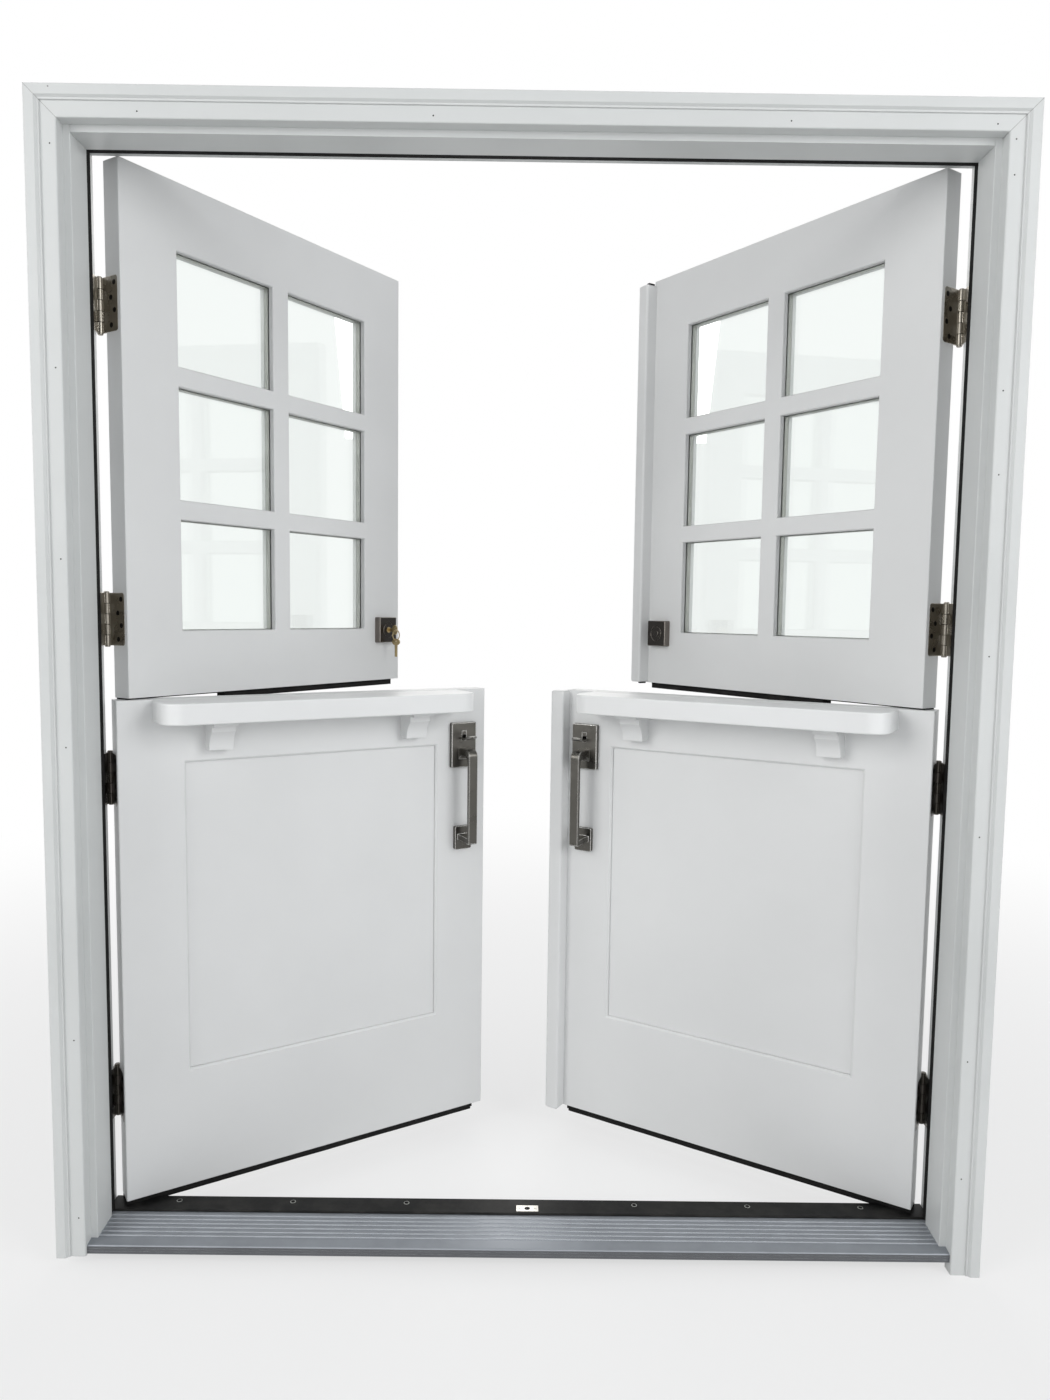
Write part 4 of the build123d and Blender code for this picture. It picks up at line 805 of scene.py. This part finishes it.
# %% Dents in the casing and plugs in the sill's cap
outward = Vector((0, -1, 0))
casing_flat = -25.4 * mm
nail_line = 11.5 * mm
side_line = mitre_corner[0] + nail_line
head_line = mitre_corner[1] + nail_line
left_nails = (2008, 1633, 1302, 965, 419, 74)
right_nails = (2038, 1979, 1616, 1471, 1150, 821, 397, 169)
head_nails = (-678, -172, 441, 795)
dents = [(Vector((-side_line, casing_flat, z * mm)), outward) for z in left_nails]
dents += [(Vector((side_line, casing_flat, z * mm)), outward) for z in right_nails]
dents += [(Vector((x * mm, casing_flat, head_line)), outward) for x in head_nails]
grow("casing_nail_dents", spots, dents,
     {"Dent Radius": 1.4 * mm, "Lip Radius": 2.2 * mm, "Lip Rise": 0.12 * mm, "Seed": 21,
      "Lip Finish": upright_frame_paint, "Hole": black_oxide}, "frame")

cap_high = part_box("sill_cap")[1]
plug_inset = 17.0 * mm
plug_places = (-686, -457, -228, 232, 461, 690)
plugs = [(Vector((x * mm, cap_high[1] - plug_inset, cap_high[2])), upward) for x in plug_places]
grow("sill_cap_plugs", spots, plugs,
     {"Dent Radius": 4.4 * mm, "Lip Radius": 5.6 * mm, "Lip Rise": 0.2 * mm, "Seed": 22,
      "Lip Finish": spacer_grey, "Hole": black_rubber}, "frame")

# %% [markdown]
# ## Gaps between the knuckles
# A hinge's barrel is five knuckles on one pin, and from outside the gaps between them read as four
# fine dark lines. The gaps in the solids are real but narrower than a pixel, so a dark ring paints the
# shade in each. The rings belong to the fixed half of the hinge.

# %% Dark rings of painted shade on the barrels
ring_sides = 24


def gap_shade_ring_tree():
    """A tree that puts a short open tube on every point."""
    tree, group, result = new_tree("knuckle_gap_shade_rings", [
        ("Ring Radius", "Float"), ("Ring Height", "Float"), ("Seed", "Int"), ("Material", "Material")])
    tube = add_node(tree, "GeometryNodeMeshCylinder", fill_type="NONE")
    tube.inputs["Vertices"].default_value = ring_sides
    link(tree, group.outputs["Ring Radius"], tube.inputs["Radius"])
    link(tree, group.outputs["Ring Height"], tube.inputs["Depth"])
    copies = copies_on_points(tree, group, tube.outputs["Mesh"])
    link(tree, painted(tree, group, copies, "Material"), result.inputs["Geometry"])
    return tree


knuckle = 20.32 * mm
gaps = [(leaf_axes(leaf)[0] + Vector((0, 0, level + knuckle * place)), upward)
        for leaf in leaves
        for level in hinge_levels[leaf]
        for place in (-1.5, -0.5, 0.5, 1.5)]
grow("knuckle_gap_shade_rings", gap_shade_ring_tree(), gaps,
     {"Ring Radius": 6.6 * mm, "Ring Height": 1.1 * mm, "Seed": 31, "Material": black_oxide},
     "frame")

# %% [markdown]
# ## Lips of the weatherstrip
# The weatherstrip's bulb has a black lip along the stop's edge, which from outside is the strong dark
# line round the opening. It could be swept like the fins further down, but it is straight and square, so
# a box built from its corners is enough. The corners of a face run anticlockwise as seen from outside, so
# that the face points outwards.

# %% Boxes and lips
box_faces = [(3, 2, 1, 0), (4, 5, 6, 7), (0, 1, 5, 4), (1, 2, 6, 5), (2, 3, 7, 6), (3, 0, 4, 7)]


def faced(leaf, faces):
    """Faces for bench coordinates. Those of a right leaf are a mirror image, so they are turned round."""
    return [tuple(reversed(face)) for face in faces] if leaf.endswith("right") else faces


def plain_piece(name, points, faces, finish, body):
    """Makes a piece from its corners and faces."""
    mesh = bpy.data.meshes.new(name)
    mesh.from_pydata(points, [], faces)
    mesh.materials.append(finish)
    return new_piece(name, mesh, body)


def corners(low, high):
    """The eight corners of a box, bottom ring first."""
    ring = [(low[0], low[1]), (high[0], low[1]), (high[0], high[1]), (low[0], high[1])]
    return [(x, y, z) for z in (low[2], high[2]) for x, y in ring]


stop_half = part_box("right_jamb")[0][0]
stop_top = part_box("head_jamb")[0][2]
# The lip reaches further back than the real bulb, about 76 mm, so its back part is a black sheet of
# painted shade in the gap there.
lip_front, lip_back_with_shade = 66.7 * mm, 81.0 * mm
lip_start, lip_end = 0.15 * mm, 2.6 * mm


def lip(name, leaf, low, high):
    """Makes one length of lip against the stop."""
    piece = plain_piece(name, corners(low, high), box_faces, black_rubber, "frame")
    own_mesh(piece)


for leaf in leaves:
    level, hand = leaf.split("_")
    foot = cap_high[2] if level == "lower" else split_height
    top = split_height if level == "lower" else stop_top + lip_end
    near, far = stop_half + lip_start, stop_half + lip_end
    low_x, high_x = (near, far) if hand == "right" else (-far, -near)
    lip(leaf + "_jamb_lip", leaf, (low_x, lip_front, foot), (high_x, lip_back_with_shade, top))
    if level == "upper":
        low_x, high_x = (0, stop_half) if hand == "right" else (-stop_half, 0)
        lip(leaf + "_head_lip", leaf, (low_x, lip_front, stop_top + lip_start),
            (high_x, lip_back_with_shade, stop_top + lip_end))
print("lips ready")

# %% [markdown]
# ## Linings and fillers of the slots
# Behind each thumb piece the slot is lined in black as painted shade for the dark recess, and its upper
# half is filled, as a lock case fills it on the real doors. A lining is seen from within, so its faces
# point into the recess. It could be cut into the solids, but those stay as they are, and a thin lining
# hides the painted bore as well, under painted shade.

# %% Linings and fillers behind the thumb pieces
def lining(leaf, outline, front, back):
    """Lines a recess of a leaf in black as painted shade: walls along an outline of (distance, height),
    and a floor behind.
    """
    count = len(outline)
    points = [on_leaf(leaf, x, y, z) for y in (front, back) for x, z in outline]
    faces = [(i, (i + 1) % count, (i + 1) % count + count, i + count) for i in range(count)]
    faces.append(tuple(range(count, 2 * count)))
    plain_piece(leaf + "_slot_shade_lining", points, faced(leaf, faces), black_rubber,
                leaf + "_leaf")


outer_face = -60.05 * mm
thumb_height = 934.0 * mm
lining_gap = 0.2 * mm
bore_radius, bore_depth, bore_sides = 19.7 * mm, 9.6 * mm, 32
slot_half_width, slot_half_height, slot_depth = 5.35 * mm, 10.85 * mm, 8.2 * mm
bore_outline = [(lock_middle + bore_radius * math.cos(math.tau * i / bore_sides),
                 latch_height + bore_radius * math.sin(math.tau * i / bore_sides))
                for i in range(bore_sides)]
slot_outline = [(lock_middle + sx * slot_half_width, thumb_height + sz * slot_half_height)
                for sx, sz in ((-1, -1), (1, -1), (1, 1), (-1, 1))]
lining("lower_left", bore_outline, outer_face + lining_gap, outer_face + bore_depth)
lining("lower_right", slot_outline, outer_face + lining_gap, outer_face + slot_depth)


def leaf_box(leaf, low, high):
    """The corners of a box that is given in bench coordinates."""
    return [on_leaf(leaf, *corner) for corner in corners(low, high)]


escutcheon_depth, filler_gap, filler_foot = 11.0 * mm, 0.3 * mm, 2.0 * mm
filler_front = outer_face - escutcheon_depth + filler_gap
filler_low = (lock_middle - slot_half_width, filler_front, thumb_height + filler_foot)
filler_high = (lock_middle + slot_half_width, outer_face, thumb_height + slot_half_height)
for leaf in ("lower_left", "lower_right"):
    plain_piece(leaf + "_slot_filler", leaf_box(leaf, filler_low, filler_high), faced(leaf, box_faces),
                dark_nickel, leaf + "_leaf")
print("linings and fillers ready")

# %% [markdown]
# ## Pads at the ends of the upper astragal
# Small black pads close the gaps above and below the upper astragal. Each is one box, so both are one
# mesh of sixteen corners, built the same way as the fillers.

# %% Pads of the astragal
cover_low, cover_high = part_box("upper_right_astragal")
pad_start, pad_end = 801.0 * mm, 809.0 * mm
pad_front, pad_back = outer_face - 24.0 * mm, outer_face - 6.0 * mm
pad_height = 3.4 * mm
pad_points = []
for foot in (cover_high[2], cover_low[2] - pad_height):
    pad_points += leaf_box("upper_right", (pad_start, pad_front, foot),
                           (pad_end, pad_back, foot + pad_height))
pad_faces = [tuple(8 * box + corner for corner in face)
             for box in (0, 1) for face in faced("upper_right", box_faces)]
plain_piece("upper_right_astragal_pads", pad_points, pad_faces, black_rubber, "upper_right_leaf")
print("pads", len(pad_points) // 8)

# %% [markdown]
# ## Fins under the leaves
# Under each leaf hang two soft fins: the upper pair wipes over the lower leaf, the lower pair over the
# sill. They are thin strips, never quite straight, so the tree bends a line by a low noise and sweeps a
# thin upright section along it.

# %% Soft fins from a swept line
fin_steps = 60
fin_wave_scale = 14.0
fin_waviness = 3.0 * mm
fin_thickness = 1.6 * mm


def fin_tree():
    """A tree that turns each pair of points into a hanging strip, slightly wavy."""
    tree, group, result = new_tree("seal_fins", [
        ("Fin Height", "Float"), ("Fin Thickness", "Float"), ("Waviness", "Float"),
        ("Material", "Material")])
    curve = add_node(tree, "GeometryNodeMeshToCurve")
    link(tree, group.outputs["Geometry"], curve.inputs["Mesh"])
    fine = add_node(tree, "GeometryNodeResampleCurve", mode="COUNT")
    fine.inputs["Count"].default_value = fin_steps
    link(tree, curve.outputs["Curve"], fine.inputs["Curve"])
    wave = add_node(tree, "ShaderNodeTexNoise", noise_dimensions="3D")
    wave.inputs["Scale"].default_value = fin_wave_scale
    centred = add_node(tree, "ShaderNodeVectorMath", operation="SUBTRACT")
    centred.inputs[1].default_value = (0.5, 0.5, 0.5)
    link(tree, wave.outputs["Color"], centred.inputs[0])
    flat = add_node(tree, "ShaderNodeVectorMath", operation="MULTIPLY")
    flat.inputs[1].default_value = (1.0, 1.0, 0.0)
    link(tree, centred.outputs["Vector"], flat.inputs[0])
    sized = add_node(tree, "ShaderNodeVectorMath", operation="SCALE")
    link(tree, flat.outputs["Vector"], sized.inputs[0])
    link(tree, group.outputs["Waviness"], sized.inputs["Scale"])
    bent = add_node(tree, "GeometryNodeSetPosition")
    link(tree, fine.outputs["Curve"], bent.inputs["Geometry"])
    link(tree, sized.outputs["Vector"], bent.inputs["Offset"])
    upright = add_node(tree, "GeometryNodeSetCurveNormal", mode="Z_UP")
    link(tree, bent.outputs["Geometry"], upright.inputs["Curve"])
    section = add_node(tree, "GeometryNodeCurvePrimitiveQuadrilateral")
    link(tree, group.outputs["Fin Thickness"], section.inputs["Width"])
    link(tree, group.outputs["Fin Height"], section.inputs["Height"])
    swept = add_node(tree, "GeometryNodeCurveToMesh")
    swept.inputs["Fill Caps"].default_value = True
    link(tree, upright.outputs["Curve"], swept.inputs["Curve"])
    link(tree, section.outputs["Curve"], swept.inputs["Profile Curve"])
    strips = realized(tree, swept.outputs["Mesh"])
    link(tree, painted(tree, group, strips, "Material"), result.inputs["Geometry"])
    return tree


fins = fin_tree()


def fin_pair(leaf, strip, start, end, depths, height):
    """Makes the two fins of a leaf from two bench lines under its strip."""
    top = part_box(leaf + strip)[1][2]
    points = [on_leaf(leaf, x, depth, top - height / 2) for depth in depths for x in (start, end)]
    lines = bpy.data.meshes.new(leaf + "_fin_lines")
    lines.from_pydata(points, [(0, 1), (2, 3)], [])
    piece = run_tree(leaf + "_fins", lines, fins,
                     {"Fin Height": height, "Fin Thickness": fin_thickness, "Waviness": fin_waviness,
                      "Material": black_rubber}, leaf + "_leaf")
    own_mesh(piece)


for leaf in ("upper_left", "upper_right"):
    fin_pair(leaf, "_seal", 245.0 * mm, 792.0 * mm, (-52.0 * mm, -27.0 * mm), 14.0 * mm)
for leaf in ("lower_left", "lower_right"):
    fin_pair(leaf, "_sweep", 32.0 * mm, 788.0 * mm, (-52.5 * mm, -23.5 * mm), 16.0 * mm)

# %% [markdown]
# ## Studio floor
# The studio is plain: a pale floor and a white world. The floor glows a little where it is seen, and
# more so far away, where it runs into the white world without a horizon, while near the doors it keeps
# their shadow. A curved backdrop would hide the horizon too, but its shading would show through the glass.

# %% Floor
def seen_rays(tree):
    """One for rays that make something seen: straight, in a mirror or through glass."""
    rays = add_node(tree, "ShaderNodeLightPath")
    straight_or_mirror = add_node(tree, "ShaderNodeMath", operation="MAXIMUM")
    seen_at_all = add_node(tree, "ShaderNodeMath", operation="MAXIMUM")
    link(tree, rays.outputs["Is Camera Ray"], straight_or_mirror.inputs[0])
    link(tree, rays.outputs["Is Glossy Ray"], straight_or_mirror.inputs[1])
    link(tree, straight_or_mirror.outputs["Value"], seen_at_all.inputs[0])
    link(tree, rays.outputs["Is Transmission Ray"], seen_at_all.inputs[1])
    return seen_at_all.outputs["Value"]


lowest = cad_box[0][2]
floor_size = 30.0
floor_gap = 0.0005
floor_white = (0.74, 0.74, 0.74, 1)
fade_start, fade_end = 0.8, 4.5
near_glow = 0.62
bpy.ops.mesh.primitive_plane_add(size=floor_size, location=(0, 0, lowest - floor_gap))
floor = bpy.context.object
floor.name = "studio_floor"
floor_finish, floor_tree, floor_shader, floor_mapping = new_finish("studio_floor", 0.0, 0.9)
floor_shader.inputs["Base Color"].default_value = floor_white
floor_glow = add_node(floor_tree, "ShaderNodeEmission")
floor_distance = add_node(floor_tree, "ShaderNodeVectorMath", operation="LENGTH")
floor_fade = add_node(floor_tree, "ShaderNodeMapRange", interpolation_type="SMOOTHSTEP")
floor_fade.inputs["From Min"].default_value = fade_start
floor_fade.inputs["From Max"].default_value = fade_end
floor_fade.inputs["To Min"].default_value = near_glow
link(floor_tree, floor_mapping.outputs["Vector"], floor_distance.inputs[0])
link(floor_tree, floor_distance.outputs["Value"], floor_fade.inputs["Value"])
floor_share = add_node(floor_tree, "ShaderNodeMath", operation="MULTIPLY")
link(floor_tree, floor_fade.outputs["Result"], floor_share.inputs[1])
floor_mix = add_node(floor_tree, "ShaderNodeMixShader")
floor_surface = floor_tree.nodes["Material Output"]
link(floor_tree, seen_rays(floor_tree), floor_share.inputs[0])
link(floor_tree, floor_share.outputs["Value"], floor_mix.inputs["Fac"])
link(floor_tree, floor_shader.outputs["BSDF"], floor_mix.inputs[1])
link(floor_tree, floor_glow.outputs["Emission"], floor_mix.inputs[2])
link(floor_tree, floor_mix.outputs["Shader"], floor_surface.inputs["Surface"])
floor.data.materials.append(floor_finish)
print("floor at", round(lowest - floor_gap, 4))

# %% [markdown]
# ## White world
# The world is white to the camera, to mirrors and through glass, but lights the doors more weakly. A
# plain white world would be simpler, but it would light white paint from all sides and wash its shades
# out.

# %% World
world = bpy.data.worlds.new("studio_world")
bpy.context.scene.world = world
world.use_nodes = True
tree = world.node_tree
tree.nodes.clear()
ambient_level = 0.36
seen = add_node(tree, "ShaderNodeBackground")
seen.inputs["Color"].default_value = (1, 1, 1, 1)
lighting = add_node(tree, "ShaderNodeBackground")
lighting.inputs["Color"].default_value = (0.95, 0.97, 1.0, 1)
lighting.inputs["Strength"].default_value = ambient_level
choice = add_node(tree, "ShaderNodeMixShader")
link(tree, seen_rays(tree), choice.inputs["Fac"])
link(tree, lighting.outputs["Background"], choice.inputs[1])
link(tree, seen.outputs["Background"], choice.inputs[2])
surface = add_node(tree, "ShaderNodeOutputWorld")
link(tree, choice.outputs["Shader"], surface.inputs["Surface"])
print("ambient level", ambient_level)

# %% [markdown]
# ## Lamps
# Three large soft lamps stand in front and one behind. The leaves stand open, so their outer faces look
# across the opening, and the two side lamps light them squarely. One lamp in front would be simpler, but
# it would light the frame well and leave the opened leaves dull.

# %% Lamps
def lamp(name, place, target, width, power, colour):
    """Adds a large square lamp that shines on a point."""
    data = bpy.data.lights.new(name, "AREA")
    data.shape = "SQUARE"
    data.size = width
    data.energy = power
    data.color = colour
    light = bpy.data.objects.new(name, data)
    bpy.context.collection.objects.link(light)
    light.location = place
    light.rotation_euler = (Vector(target) - Vector(place)).to_track_quat("-Z", "Y").to_euler()


middle_of_doors = (0, 0.35, 1.15)
lamp("left_lamp", (-4.2, -3.0, 2.9), middle_of_doors, 2.8, 131, (1.0, 0.995, 0.985))
lamp("right_lamp", (4.2, -3.0, 2.8), middle_of_doors, 2.8, 131, (0.99, 0.995, 1.0))
lamp("front_lamp", (0, -4.6, 1.9), middle_of_doors, 2.4, 28, (0.98, 0.99, 1.0))
lamp("back_lamp", (0, 4.4, 3.4), middle_of_doors, 2.4, 46, (1.0, 0.98, 0.95))
print("lamps", len(bpy.data.lights))

# %% [markdown]
# ## Camera
# The camera stands where the photograph was taken from, with the same lens and tilt, so the picture can
# be laid over the photograph. Its axes are built from yaw, pitch and roll, because each of the three can
# then be read and changed by itself, which a matrix of numbers doesn't allow.

# %% Camera at the photograph's place
photo_width, photo_height = 1050, 1400
focal_pixels = 1005.05
sensor = 36.0
camera_place = Vector((-9.24, -1824.10, 1218.94)) * mm
yaw = math.radians(0.22)
pitch = math.radians(-5.0)
roll = math.radians(0.74)
forward = Vector((math.sin(yaw) * math.cos(pitch), math.cos(yaw) * math.cos(pitch), math.sin(pitch)))
level_right = Vector((math.cos(yaw), -math.sin(yaw), 0))
level_up = level_right.cross(forward)
right = level_right * math.cos(roll) + level_up * math.sin(roll)
up = level_up * math.cos(roll) - level_right * math.sin(roll)
camera_data = bpy.data.cameras.new("camera")
camera_data.sensor_fit = "VERTICAL"
camera_data.sensor_height = sensor
camera_data.lens = focal_pixels / photo_height * sensor
camera_data.clip_end = 60
camera = bpy.data.objects.new("camera", camera_data)
bpy.context.collection.objects.link(camera)
turn = Matrix((right, up, -forward)).transposed().to_4x4()
camera.matrix_world = Matrix.Translation(camera_place) @ turn
bpy.context.scene.camera = camera
bpy.context.scene.view_settings.view_transform = "Standard"
print("lens", round(camera_data.lens, 2), "picture", photo_width, photo_height)
